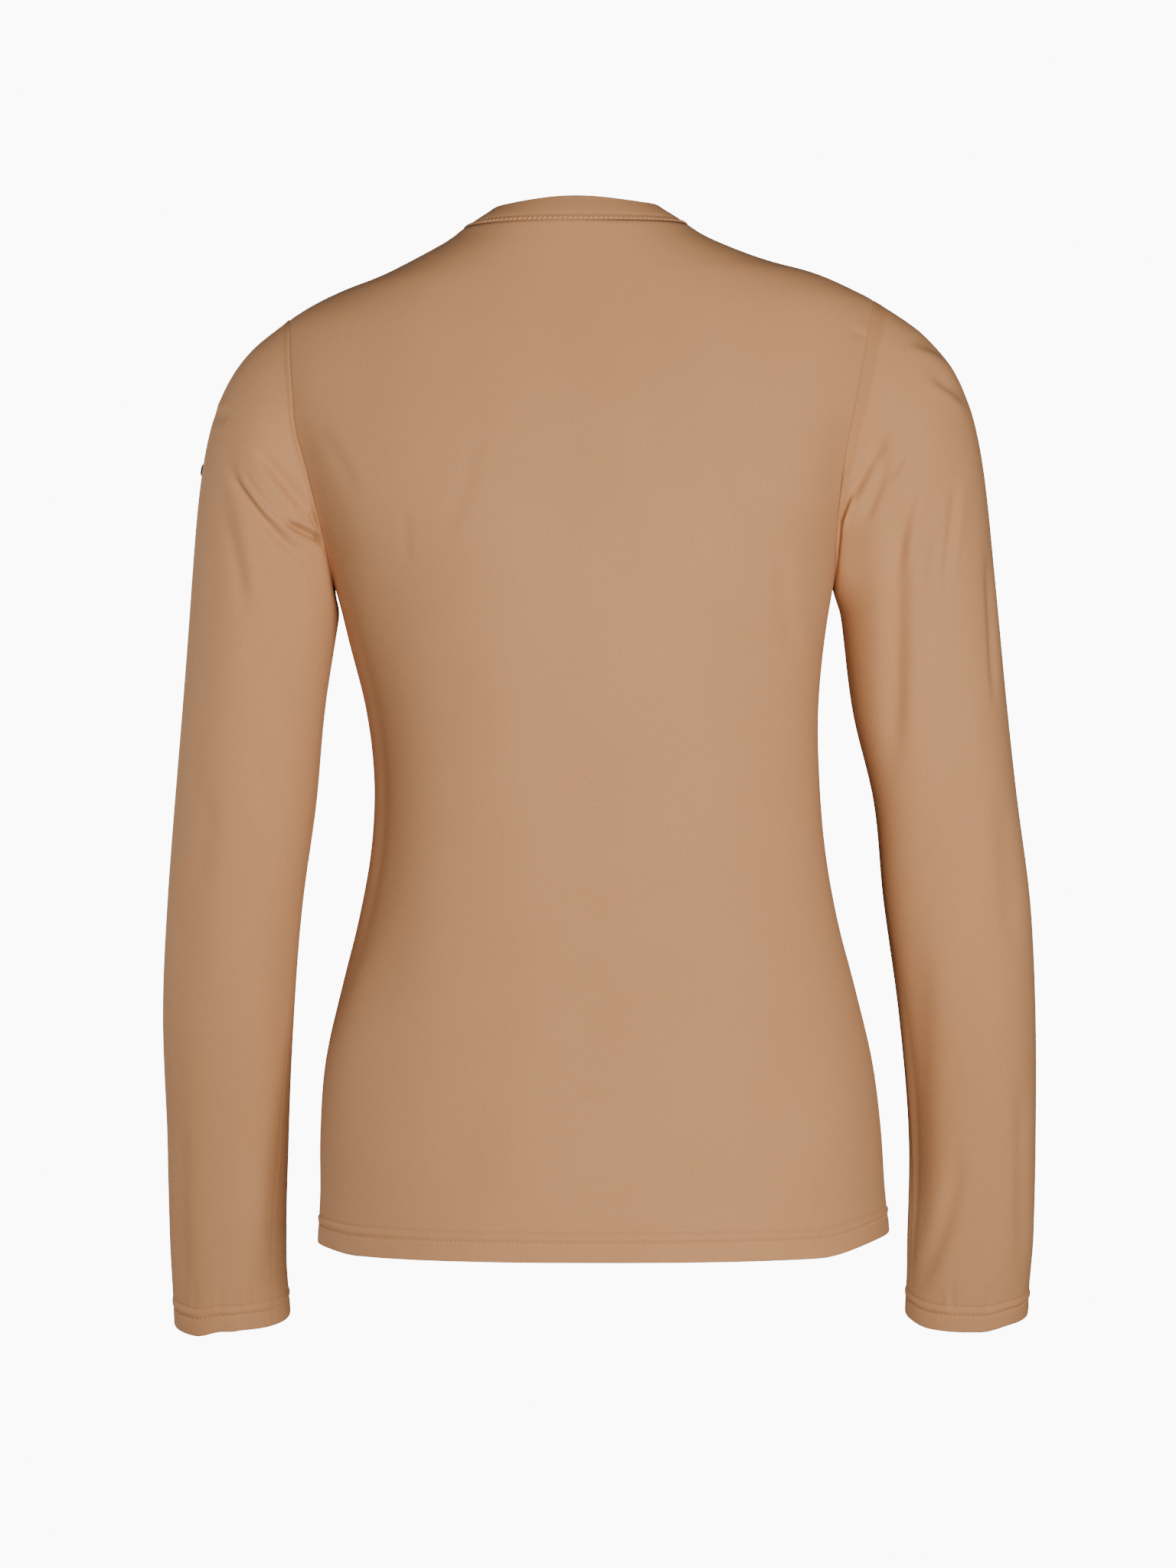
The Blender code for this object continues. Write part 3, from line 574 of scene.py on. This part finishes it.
# True rows are what the photo shows from behind: deep creases where the left upper arm meets the body, a
# long one down its outside, and softer hollows on the right. The last of them are the lower arm and the
# cuff. False rows are on the hidden front and are guessed.
SLEEVE_CREASES = {
    ("left", True): (
        (178.0, -174.4, 139.0, -194.5, 0.8, 2.6, 6.0, 2.8),
        (174.0, -177.0, 202.0, -140.0, 2.2, 3.0, 2.2, 2.0),
        (211.0, -135.0, 159.0, -201.0, -5.8, 5.2, 3.8, 1.6),
        (154.0, -176.0, 193.0, -130.0, 0.0, 5.6, 3.2, 1.2),
        (150.5, -191.0, 159.0, -166.0, 0.0, 2.8, 3.6, 0.0),
        (153.0, -174.0, 140.0, -224.0, 0.0, 3.0, 3.6, 0.0),
        (217.0, -150.0, 198.0, -236.0, 2.5, 6.5, 1.4, 0.9),
        (173.5, -196.0, 165.0, -218.0, 0.0, 4.0, 1.0, 0.4),
        (223.0, -109.5, 207.0, -114.5, 0.0, 4.5, 2.4, 0.9),
        (176.0, -236.0, 200.0, -262.0, 3.0, 8.0, 0.9, 0.3),
        (190.0, -300.0, 178.0, -356.0, -3.0, 9.0, 1.0, 0.3),
        (222.0, -330.0, 229.0, -402.0, 3.0, 10.0, 1.0, 0.3),
        (248.0, -524.5, 202.0, -530.0, -2.0, 2.2, 0.9, 0.5),
        (233.5, -655.0, 236.5, -530.0, 1.5, 6.0, 1.6, 0.9),
        (229.5, -651.0, 228.0, -628.0, 0.0, 3.2, 0.5, 0.2),
        (195.5, -650.0, 196.5, -630.0, 0.0, 2.8, 1.2, 0.6),
        (214.0, -652.0, 213.0, -636.0, 0.0, 2.4, 0.5, 0.2),
    ),
    ("left", False): (
        (152.0, -184.0, 190.0, -136.0, 4.0, 7.0, 2.4, 1.0),
        (163.0, -206.0, 207.0, -160.0, 5.0, 7.0, 2.2, 0.9),
        (184.0, -232.0, 214.0, -196.0, 4.0, 8.0, 1.2, 0.5),
        (196.0, -330.0, 205.0, -262.0, 2.0, 9.0, 1.3, 0.5),
        (188.0, -372.0, 226.0, -352.0, 3.0, 7.0, 1.3, 0.6),
        (190.0, -392.0, 222.0, -380.0, -2.0, 6.0, 1.0, 0.5),
        (201.0, -640.0, 200.0, -610.0, 0.0, 5.0, 0.6, 0.3),
    ),
    ("right", True): (
        (-159.0, -168.0, -187.0, -119.0, -1.5, 5.6, 3.0, 1.0),
        (-164.5, -158.5, -157.0, -180.0, 0.0, 2.2, 3.4, 1.8),
        (-170.0, -180.0, -188.0, -131.0, -1.5, 5.5, 2.4, 0.8),
        (-197.0, -136.0, -187.0, -151.5, 0.0, 3.0, 1.5, 0.7),
        (-206.0, -148.0, -193.0, -210.0, -2.0, 4.2, 1.8, 0.7),
        (-191.0, -132.0, -189.0, -340.0, 2.0, 10.0, 3.6, 1.2),
        (-158.0, -170.0, -152.0, -220.0, 0.0, 3.2, 3.6, 0.0),
        (-228.5, -148.0, -219.0, -222.0, 1.0, 3.8, 1.8, 0.7),
        (-216.5, -178.0, -206.0, -252.0, 1.0, 4.5, 1.1, 0.4),
        (-246.0, -186.0, -251.0, -292.0, 0.0, 3.0, 1.7, 0.6),
        (-233.0, -84.0, -198.0, -67.0, -4.3, 5.4, 2.6, 0.9),
        (-238.0, -107.0, -211.0, -87.5, -2.0, 4.6, 2.3, 0.8),
        (-254.0, -330.0, -262.0, -440.0, 0.0, 9.0, 1.4, 0.5),
        (-230.0, -548.0, -200.0, -642.0, 6.0, 8.0, 1.8, 0.8),
        (-205.0, -400.0, -202.0, -655.0, 0.0, 16.0, 3.2, 0.0),
        (-267.0, -500.0, -266.0, -640.0, 0.0, 6.0, 1.2, 0.4),
        (-247.0, -651.0, -248.0, -634.0, 0.0, 3.0, 1.0, 0.5),
        (-226.0, -650.0, -225.0, -632.0, 0.0, 2.8, 0.8, 0.5),
    ),
    ("right", False): (
        (-160.0, -186.0, -196.0, -134.0, -4.0, 7.0, 2.4, 1.0),
        (-172.0, -208.0, -216.0, -166.0, -5.0, 7.0, 2.1, 0.9),
        (-196.0, -236.0, -230.0, -200.0, -4.0, 8.0, 1.1, 0.5),
        (-214.0, -350.0, -224.0, -280.0, -2.0, 9.0, 1.3, 0.5),
        (-210.0, -392.0, -250.0, -374.0, -3.0, 7.0, 1.3, 0.6),
        (-214.0, -412.0, -246.0, -402.0, 2.0, 6.0, 1.0, 0.5),
        (-236.0, -640.0, -234.0, -606.0, 0.0, 5.0, 0.6, 0.3),
    ),
}


def arm_rings(side, heights, columns):
    """Rings round the arm, each starting at its inner side and passing the back first."""
    sign = 1 if side == "left" else -1
    turn = np.linspace(0.0, 2 * math.pi, columns)
    power = 2 / SLEEVE_ROUND
    outward = -np.sign(np.cos(turn)) * np.abs(np.cos(turn)) ** power
    behind = np.sign(np.sin(turn)) * np.abs(np.sin(turn)) ** power
    rings = []
    for height in heights:
        out, y, half_width, half_depth, tilt = (
            smooth(SLEEVES[side], SLEEVE_COLUMNS, name, height) for name in SLEEVE_COLUMNS[1:]
        )
        tilt = math.radians(tilt)
        x = sign * (out + half_width * outward)
        rings.append(np.stack([
            x,
            y + half_depth * behind * math.cos(tilt),
            height - half_depth * behind * math.sin(tilt),
        ], axis=1))
    return np.stack(rings)


def cap_rings(side, loop, arm_ring, below):
    """Rings that fan out from the armhole to the upper arm. They close up under the arm."""
    slope, shoulder_reach, arm_reach = CAPS[side]
    slope = math.radians(slope)
    sign = 1 if side == "left" else -1
    high = (1 - np.cos(np.linspace(0.0, 2 * math.pi, len(loop))))[:, None] / 2
    leave = high * (sign * math.cos(slope), 0.0, -math.sin(slope)) + (1 - high) * (0.0, 0.0, -1.0)
    leave /= np.linalg.norm(leave, axis=1)[:, None]
    down = below - arm_ring
    down /= np.linalg.norm(down, axis=1)[:, None]
    leaving = loop + leave * (UNDERARM_REACH + (shoulder_reach - UNDERARM_REACH) * high)
    arriving = arm_ring - down * (UNDERARM_REACH + (arm_reach - UNDERARM_REACH) * high)
    s = np.linspace(0.0, 1.0, PATH_SAMPLES)[:, None, None]
    paths = (
        (1 - s) ** 3 * loop
        + 3 * s * (1 - s) ** 2 * leaving
        + 3 * s**2 * (1 - s) * arriving
        + s**3 * arm_ring
    )
    return np.stack([
        divided(paths[:, k], BESIDE_ARMHOLE, CAP_RINGS)[0] for k in range(len(loop))
    ], axis=1)


def make_sleeve(side):
    """One sleeve: its sheet with the turned cuff, the cuff's rows of stitches, its outer points and their
    normals, and how much painted shade darkens each point of the sheet."""
    sign = 1 if side == "left" else -1
    first = 1 + len(HEM_LINES) + SIDE_ROWS
    loops = []
    for points in (panel("back")[0], panel("front")[0]):
        loops.append(points[first : first + ARMHOLE_STEPS + 1, -1 if side == "left" else 0])
    loop = np.concatenate([loops[0], loops[1][-2::-1]])
    cuff, top = SLEEVES[side][0][0], SLEEVES[side][-1][0]
    plain = np.linspace(top, ELBOW, UPPER_RINGS + 1)[:-1]
    plain = np.concatenate([plain, np.linspace(ELBOW, cuff + CUFF_PLAIN_FROM, LOWER_RINGS)])
    heights = np.concatenate([plain, cuff + np.array(CUFF_LINES[::-1]), [cuff]])
    rings = arm_rings(side, heights, len(loop))
    middle = (rings[..., 0].max(axis=1) + rings[..., 0].min(axis=1))[:, None] / 2
    share = sign * (rings[..., 0] - middle) / np.ptp(rings[..., 0], axis=1)[:, None] * 2
    (outer, outer_from), (inner, inner_from) = CUFF_HANG[side]
    hang = outer * ease((share - outer_from) / HANG_OUTER)
    hang += inner * ease((-share - inner_from) / HANG_INNER)
    rings[..., 2] += hang * ease(1 - (heights - cuff) / HANG_HIGH)[:, None]
    below = arm_rings(side, [top - 1.0], len(loop))[0]
    cap = cap_rings(side, loop, rings[0], below)
    points = hollowed(np.concatenate([cap[:-1], rings]))
    heights = np.concatenate([np.full(len(cap) - 1, CAP_HEIGHT), heights])
    normals = square_to(points, True, sign)
    row_at = np.arange(len(points))[:, None]

    from_armhole = np.cumsum(np.linalg.norm(np.diff(points, axis=0), axis=2), axis=0)
    from_armhole = np.concatenate([np.zeros((1, len(loop))), from_armhole])
    around = np.cumsum(np.linalg.norm(np.diff(rings, axis=1), axis=2), axis=1)
    around = np.concatenate([np.zeros((len(rings), 1)), around], axis=1)
    around = np.concatenate([np.repeat(around[:1], len(cap) - 1, axis=0), around])
    drift = SEAM_DRIFT[side] * ease((row_at - len(cap)) / (len(points) - len(cap)))
    whole = around[:, -1:]
    from_seam = np.abs((around - drift + whole / 2) % whole - whole / 2)

    calm = ease(from_armhole / CALM_ARMHOLE) * ease((heights - cuff - CALM_HEM)[:, None] / CALM_ABOVE_HEM)
    relief = creased(points, normals, True, SLEEVE_CREASES[side, True])
    relief += creased(points, normals, False, SLEEVE_CREASES[side, False])
    seed = 3.0 if side == "left" else 4.0
    relief += SLEEVE_DRAPE * drape(points, seed) * calm * ease(from_seam / CALM_SEAM)
    allowance, lift = ARMHOLE_ROLL[side]
    relief *= ease(from_armhole / WHOLE_BELOW_ARMHOLE)
    relief += seam_relief(from_armhole, lift, allowance)
    seam_share = ease((from_armhole - GROOVE_FROM) / GROOVE_WHOLE)
    ridge = RIDGE_HIGH * bell(from_seam, RIDGE_AT, RIDGE_WIDE)
    relief += seam_share * (ridge - GROOVE_DEEP * bell(from_seam, 0.0, GROOVE_WIDE))
    above_cuff = (heights - cuff)[:, None]
    relief += hem_relief(above_cuff + CUFF_LOWER, around + AROUND_SHIFT * sign)
    points = points + normals * relief[..., None]
    normals = square_to(points, True, sign)
    points[:, -1] = points[:, 0]

    threads = []
    for row in CUFF_STITCH_ROWS:
        at = int(np.argmin(np.abs(heights - cuff - row)))
        threads.append((points[at], normals[at]))
    upside = points[::-1]
    last = int(np.argmin(np.abs((heights - cuff)[::-1] - CUFF_TURNED_UP)))
    folded = turned_up(upside, normals[::-1], last)
    folded[:, -1] = folded[:, 0]
    # Painted shade over the allowance below the armhole seam, with none on the seam itself.
    over = from_armhole[:-1]
    shaded = np.zeros(folded.shape[:2])
    painted_shade_to = ease((allowance + PAINTED_SHADE_PAST - over) / PAINTED_SHADE_FADE)
    shaded[: len(over)] = PAINTED_SHADE_DARK * painted_shade_to * ease(over / PAINTED_SHADE_BY)
    return folded[::-1], threads, points, normals, shaded


def make_sleeves():
    """Both sleeves, and for each what the stitches and the tab need: its threads, points and normals."""
    made = {}
    for side, flat, area in (("left", (0.345, 0.665), 0.147), ("right", (0.36, 0.675), 0.158)):
        grid, threads, points, normals, shaded = make_sleeve(side)
        name = "sleeve_" + side
        sign = 1 if side == "left" else -1
        mesh = sheet_mesh(name, grid, True, sign, shaded)
        cloth_piece(name + "_cloth", mesh, name)
        made[side] = (threads, points, normals)
    return made


sleeves = make_sleeves()

# ---- Neckband --------------------------------------------------------------------------------------
# A strip of the same jersey folded double, about 2 cm high, sewn round the neckline a little stretched so
# that it stands up and leans in. Its folded edge is the top.

BAND_COLUMNS = ("angle", "inward", "up")
BAND = (
    (-45.0, 11.5, 11.5),
    (0.0, 9.0, 15.2),
    (45.0, 11.5, 11.5),
    (90.0, 19.0, 9.8),
    (135.0, 13.0, 15.0),
    (180.0, 8.0, 17.5),
    (225.0, 13.0, 15.0),
)
BAND_LINES = (0.0, 0.5, 1.0, 1.7, 2.5, 3.2, 3.9, 4.6, 5.4, 6.6)
BAND_ROWS, BAND_STEPS, EDGE_SAMPLES = 14, 400, 60
# The band's relief, each with its height, its place above the seam and its width: it puffs, it is drawn in
# under the fine row of stitches, and small puckers stand above that row. From BAND_STAND_BY above the seam
# the whole band stands out by BAND_STAND.
BAND_PUFF, BAND_DRAWN, BAND_PUCKER = (0.30, 9.5, 4.5), (0.28, 3.9, 0.7), (0.12, 6.2, 2.2)
BAND_STAND, BAND_STAND_BY = 0.35, 1.6
# The inside of the band ends this many rows short of the seam.
BAND_SHORT = 3


def make_neckband():
    """From the neck seam up to the folded edge, over it and down behind."""
    seam = np.concatenate([panel("back")[0][-1], panel("front")[0][-1][-2::-1]])
    middle = seam[:-1].mean(axis=0)
    lengths = np.concatenate([[0.0], np.cumsum(np.linalg.norm(np.diff(seam, axis=0), axis=1))])
    half = (len(seam) - 1) // 2
    by_length = np.interp(np.linspace(0.0, lengths[-1], BAND_STEPS + 1), lengths, np.arange(len(seam)))
    seam = np.stack([np.interp(by_length, np.arange(len(seam)), seam[:, k]) for k in range(3)], axis=1)
    front_share = (lengths[half + 1 :] - lengths[half]) / (lengths[-1] - lengths[half])
    turn_at = np.concatenate([lengths[: half + 1] / lengths[half] / 2, 0.5 + front_share / 2])
    turn = 2 * math.pi * np.interp(by_length, np.arange(len(turn_at)), turn_at)
    angle = np.degrees(np.abs((turn - math.pi / 2 + math.pi) % (2 * math.pi) - math.pi))
    inward = middle - seam
    inward[:, 2] = 0.0
    inward /= np.linalg.norm(inward, axis=1)[:, None]
    edge = seam + inward * smooth(BAND, BAND_COLUMNS, "inward", angle)[:, None]
    edge[:, 2] += smooth(BAND, BAND_COLUMNS, "up", angle)
    share = np.linspace(0.0, 1.0, EDGE_SAMPLES)[:, None]
    columns = [divided(a + (b - a) * share, BAND_LINES, BAND_ROWS) for a, b in zip(seam, edge)]
    points = np.stack([column[0] for column in columns], axis=1)
    height = np.stack([column[1] for column in columns], axis=1)
    normals = square_to(points, True, -1)
    across = np.linspace(0.0, lengths[-1], BAND_STEPS + 1)[None, :]
    pucker = 0.5 + 0.3 * np.sin(across / 3.3 + np.sin(across / 11.0)) + 0.2 * np.sin(across / 7.3)
    puff, drawn, puckered = (
        bell(height, *row[1:]) for row in (BAND_PUFF, BAND_DRAWN, BAND_PUCKER)
    )
    relief = BAND_PUFF[0] * puff + BAND_STAND * ease(height / BAND_STAND_BY)
    relief += -BAND_DRAWN[0] * drawn + BAND_PUCKER[0] * pucker * puckered
    points = points + normals * relief[..., None]
    normals = square_to(points, True, -1)
    points[:, -1] = points[:, 0]
    folded = turned_up(points[::-1], normals[::-1], len(points) - BAND_SHORT)
    folded[:, -1] = folded[:, 0]
    return folded[::-1], points, normals


band_grid, band_points, band_normals = make_neckband()
band_mesh = sheet_mesh("neckband", band_grid, True, -1)
cloth_piece("neckband_cloth", band_mesh, "neckband")

# ---- Stitching -------------------------------------------------------------------------------------
# Spun polyester thread in the colour of the cloth. Twin-needle rows hold up the hem and the cuffs. The neck
# seam is covered by a thick twisted row with a fine row above it, and small stitches run beside each
# armhole. Each stitch is a short bead pressed into the cloth.

# The pitches, and how far ahead and behind a row's direction is read.
HEM_STITCH, NECK_STITCH, FINE_STITCH, PATH_STEP = 2.8, 3.0, 2.4, 0.6
# The pitch, half sizes, slant and lift of the rows: the lower and upper one of a hem or cuff, the twisted
# and the fine one of the neck, and the armhole's. Then the row of the cloth's grid that each of the last
# three lies on.
LOWER_ROW = (HEM_STITCH, (1.25, 0.38, 0.32), 28.0, 0.14)
UPPER_ROW = (HEM_STITCH, (0.95, 0.30, 0.26), 0.0, 0.12)
ROPE_ROW = (NECK_STITCH, (1.9, 0.9, 0.42), 36.0, 0.16)
ABOVE_ROPE = (NECK_STITCH, (1.0, 0.26, 0.22), 0.0, 0.10)
ARMHOLE_ROW = (FINE_STITCH, (0.65, 0.2, 0.16), 12.0, 0.05)
ROPE_ON, ABOVE_ROPE_ON, ARMHOLE_ON = 2, 6, 2


def bead():
    """One stitch of unit size: its points, and the corners of its faces."""
    bm = bmesh.new()
    bmesh.ops.create_uvsphere(bm, u_segments=6, v_segments=4, radius=1.0)
    points = np.array([vertex.co for vertex in bm.verts])
    faces = [[vertex.index for vertex in face.verts] for face in bm.faces]
    bm.free()
    return points, faces


def stitched(name, rows):
    """One piece holding rows of stitches. A row is its path, the cloth's normals there, and the pitch, the
    half sizes along, across and through the cloth, the slant in degrees, and the lift of each stitch."""
    unit, corners = bead()
    points, faces = [], []
    for path, normals, pitch, half_sizes, slant, lift in rows:
        lengths = np.concatenate([[0.0], np.cumsum(np.linalg.norm(np.diff(path, axis=0), axis=1))])
        count = int(lengths[-1] / pitch)
        slanted = np.array(Matrix.Rotation(math.radians(slant), 3, "Z"))
        shaped = (unit * half_sizes) @ slanted.T
        for at in (np.arange(count) + 0.5) * lengths[-1] / count:
            place, ahead, before = (
                np.array([np.interp(at + step, lengths, path[:, k]) for k in range(3)])
                for step in (0.0, PATH_STEP, -PATH_STEP)
            )
            out = np.array([np.interp(at, lengths, normals[:, k]) for k in range(3)])
            run = (ahead - before) / np.linalg.norm(ahead - before)
            out -= run * out.dot(run)
            out /= np.linalg.norm(out)
            turned = np.stack([run, np.cross(out, run), out])
            start = len(points) * len(unit)
            points.append(place + out * lift + shaped @ turned)
            faces += [[start + corner for corner in face] for face in corners]
    mesh = bpy.data.meshes.new(name)
    mesh.from_pydata((np.concatenate(points) * MM).tolist(), [], faces)
    mesh.shade_smooth()
    return piece(name, mesh, thread, "jersey")


# Thread has the cloth's colour, a little lighter, and it is shinier because its fibres lie side by side.
# The lighter colour is painted sheen. Its plies show as fine light and dark from stitch to stitch.
thread = bpy.data.materials.new("spun_polyester_thread")
thread.use_nodes = True
tree = thread.node_tree
shader = tree.nodes["Principled BSDF"]
shader.inputs["Roughness"].default_value = 0.62
shader.inputs["Specular IOR Level"].default_value = 0.3
place = add(tree, "TexCoord")
ply = add(tree, "TexNoise", inputs={"Scale": 1 / (1.6 * MM), "Detail": 2.0},
          links={"Vector": place.outputs["Object"]})
# Painted sheen: the lighter of these two colours lightens the stitches as their shine would.
spun = add(tree, "Mix", {"data_type": "RGBA"},
           {"A": linear("#C49D7D"), "B": linear("#D4AE90")}, {"Factor": ply.outputs[0]})
tree.links.new(spun.outputs[2], shader.inputs["Base Color"])
twist = add(tree, "Bump", inputs={"Strength": 0.3, "Distance": 0.12 * MM},
            links={"Height": ply.outputs[0]})
tree.links.new(twist.outputs[0], shader.inputs["Normal"])

stitched("hem_stitches", [
    (*thread_at, *row)
    for threads in (back_threads, front_threads)
    for thread_at, row in zip(threads, (LOWER_ROW, UPPER_ROW))
])
for side, (threads, _, _) in sleeves.items():
    lower, upper = threads
    stitched("cuff_stitches_" + side, [(*lower, *LOWER_ROW), (*upper, *UPPER_ROW)])
stitched("neck_stitches", [
    (band_points[ROPE_ON], band_normals[ROPE_ON], *ROPE_ROW),
    (band_points[ABOVE_ROPE_ON], band_normals[ABOVE_ROPE_ON], *ABOVE_ROPE),
])
stitched("armhole_stitches", [
    (points[ARMHOLE_ON], normals[ARMHOLE_ON], *ARMHOLE_ROW) for _, points, normals in sleeves.values()
])

# ---- Tab -------------------------------------------------------------------------------------------
# A small plain oval of dark satin rubber, bonded to the outside of the wearer's left sleeve 15 cm below
# the neck point. It is 1.6 mm thick, stands about 1.2 mm proud, and its edge is rounded over.

TAB_HEIGHT_AT, TAB_WIDTH, TAB_HEIGHT, TAB_THICK = -145.2, 13.0, 7.2, 1.6
TAB_FLATNESS, TAB_LIFT = 0.45, 0.45
TAB_ROWS, TAB_COLUMNS = 100, 6


def make_tab():
    """The oval, bent round the arm like the cloth that it lies on. It is looked for in the sleeve's upper
    rows, and its bend is read from the columns on both sides of it."""
    _, points, normals = sleeves["left"]
    outside = points.shape[1] // 2
    at = int(np.argmin(np.abs(points[:TAB_ROWS, outside, 2] - TAB_HEIGHT_AT)))
    middle = Vector(points[at, outside])
    out = Vector(normals[at, outside])
    wide = Vector(points[at, outside + 1] - points[at, outside - 1]).normalized()
    up = out.cross(wide).normalized()
    after, before = points[at, outside + TAB_COLUMNS], points[at, outside - TAB_COLUMNS]
    bend = Vector(after + before) / 2 - middle
    reach = Vector(after - before).length / 2
    bm = bmesh.new()
    bmesh.ops.create_uvsphere(bm, u_segments=40, v_segments=20, radius=1.0)
    for vertex in bm.verts:
        x, y, z = vertex.co
        level = math.hypot(x, y)
        round_out = level ** (TAB_FLATNESS - 1) if level > 0 else 0.0
        thick = math.copysign(abs(z) ** (2 * TAB_FLATNESS), z)
        across = x * round_out * TAB_WIDTH / 2
        place = middle + wide * across + up * (y * round_out * TAB_HEIGHT / 2)
        place += bend * (across / reach) ** 2 + out * (TAB_LIFT + thick * TAB_THICK / 2)
        vertex.co = place * MM
    mesh = bpy.data.meshes.new("tab")
    bm.to_mesh(mesh)
    bm.free()
    mesh.shade_smooth()
    return mesh


# Satin silicone rubber, almost black, with a fine moulded grain that softens its highlight.
rubber = bpy.data.materials.new("satin_silicone_rubber")
rubber.use_nodes = True
tree = rubber.node_tree
shader = tree.nodes["Principled BSDF"]
shader.inputs["IOR"].default_value = 1.43
place = add(tree, "TexCoord")
grain = add(tree, "TexNoise", inputs={"Scale": 1 / (0.5 * MM), "Detail": 2.0},
            links={"Vector": place.outputs["Object"]})
tint = add(tree, "Mix", {"data_type": "RGBA"},
           {"A": linear("#17140F"), "B": linear("#26211C")}, {"Factor": grain.outputs[0]})
tree.links.new(tint.outputs[2], shader.inputs["Base Color"])
gloss = add(tree, "MapRange", inputs={"To Min": 0.38, "To Max": 0.52}, links={"Value": grain.outputs[0]})
tree.links.new(gloss.outputs[0], shader.inputs["Roughness"])
pebbled = add(tree, "Bump", inputs={"Strength": 0.2, "Distance": 0.05 * MM},
              links={"Height": grain.outputs[0]})
tree.links.new(pebbled.outputs[0], shader.inputs["Normal"])
piece("tab", make_tab(), rubber, "tab", "sleeve_tab")

# ---- Floor, light and camera -----------------------------------------------------------------------
# A plain pale paper floor well below the garment and an even white surround. Two warm soft lights stand to
# the camera's right, two weaker and less warm ones to its left. The camera looks level at the back from
# 2.8 m. Where the photo's own lights and camera stood is guessed.

FLOOR_AT, FLOOR_REACH, SEEN_HIGH = -1.0, 1.1, 0.940
bm = bmesh.new()
floor_place = Matrix.Translation((0, 0, FLOOR_AT))
bmesh.ops.create_circle(bm, cap_ends=True, segments=96, radius=FLOOR_REACH, matrix=floor_place)
mesh = bpy.data.meshes.new("floor")
bm.to_mesh(mesh)
bm.free()
floor = bpy.data.objects.new("floor", mesh)
bpy.context.scene.collection.objects.link(floor)
paper = bpy.data.materials.new("pale_paper_floor")
paper.use_nodes = True
paper.node_tree.nodes["Principled BSDF"].inputs["Base Color"].default_value = linear("#E9E8E6")
paper.node_tree.nodes["Principled BSDF"].inputs["Roughness"].default_value = 0.9
mesh.materials.append(paper)

world = bpy.data.worlds.new("white_surround")
bpy.context.scene.world = world
world.use_nodes = True
tree = world.node_tree
ambient = tree.nodes["Background"]
ambient.inputs["Color"].default_value = linear("#FFF0E4")
ambient.inputs["Strength"].default_value = 0.05
# Only the camera sees the white. What lights the cloth from all round is weak and warm.
backdrop = add(tree, "Background", inputs={"Color": linear("#FFFFFF"), "Strength": 10.34})
path = add(tree, "LightPath")
seen = add(tree, "MixShader",
           links={0: path.outputs["Is Camera Ray"], 1: ambient.outputs[0], 2: backdrop.outputs[0]})
tree.links.new(seen.outputs[0], tree.nodes["World Output"].inputs["Surface"])


def soft_light(name, place, aim, size, power, colour):
    """A square soft light at this place, in metres, turned to its aim. size is one side of it."""
    lamp = bpy.data.lights.new(name, "AREA")
    lamp.shape = "SQUARE"
    lamp.size = size
    lamp.energy = power
    lamp.color = linear(colour)[:3]
    item = bpy.data.objects.new(name, lamp)
    bpy.context.scene.collection.objects.link(item)
    item.location = place
    item.rotation_euler = (Vector(aim) - Vector(place)).to_track_quat("-Z", "Y").to_euler()
    item.visible_camera = False


soft_light("key", (-1.01, 2.50, -0.30), (0.0, 0.0, -0.30), 0.9, 32.0, "#FFE4C4")
soft_light("near", (-0.33, 1.28, -0.15), (-0.10, 0.0, -0.15), 0.5, 12.0, "#FFE4C4")
soft_light("side", (0.80, 0.55, -0.05), (0.20, 0.0, -0.25), 0.4, 1.2, "#FFEBD5")
soft_light("edge", (1.28, -0.51, -0.15), (0.20, 0.0, -0.25), 0.6, 9.0, "#FFEBD5")

lens = bpy.data.cameras.new("camera")
lens.sensor_fit = "VERTICAL"
lens.sensor_height = 36.0
lens.lens = lens.sensor_height * CAMERA_AT[1] * MM / SEEN_HIGH
camera = bpy.data.objects.new("camera", lens)
bpy.context.scene.collection.objects.link(camera)
camera.location = Vector(CAMERA_AT) * MM
camera.rotation_euler = (math.radians(90.0), 0.0, math.radians(180.0))
bpy.context.scene.camera = camera
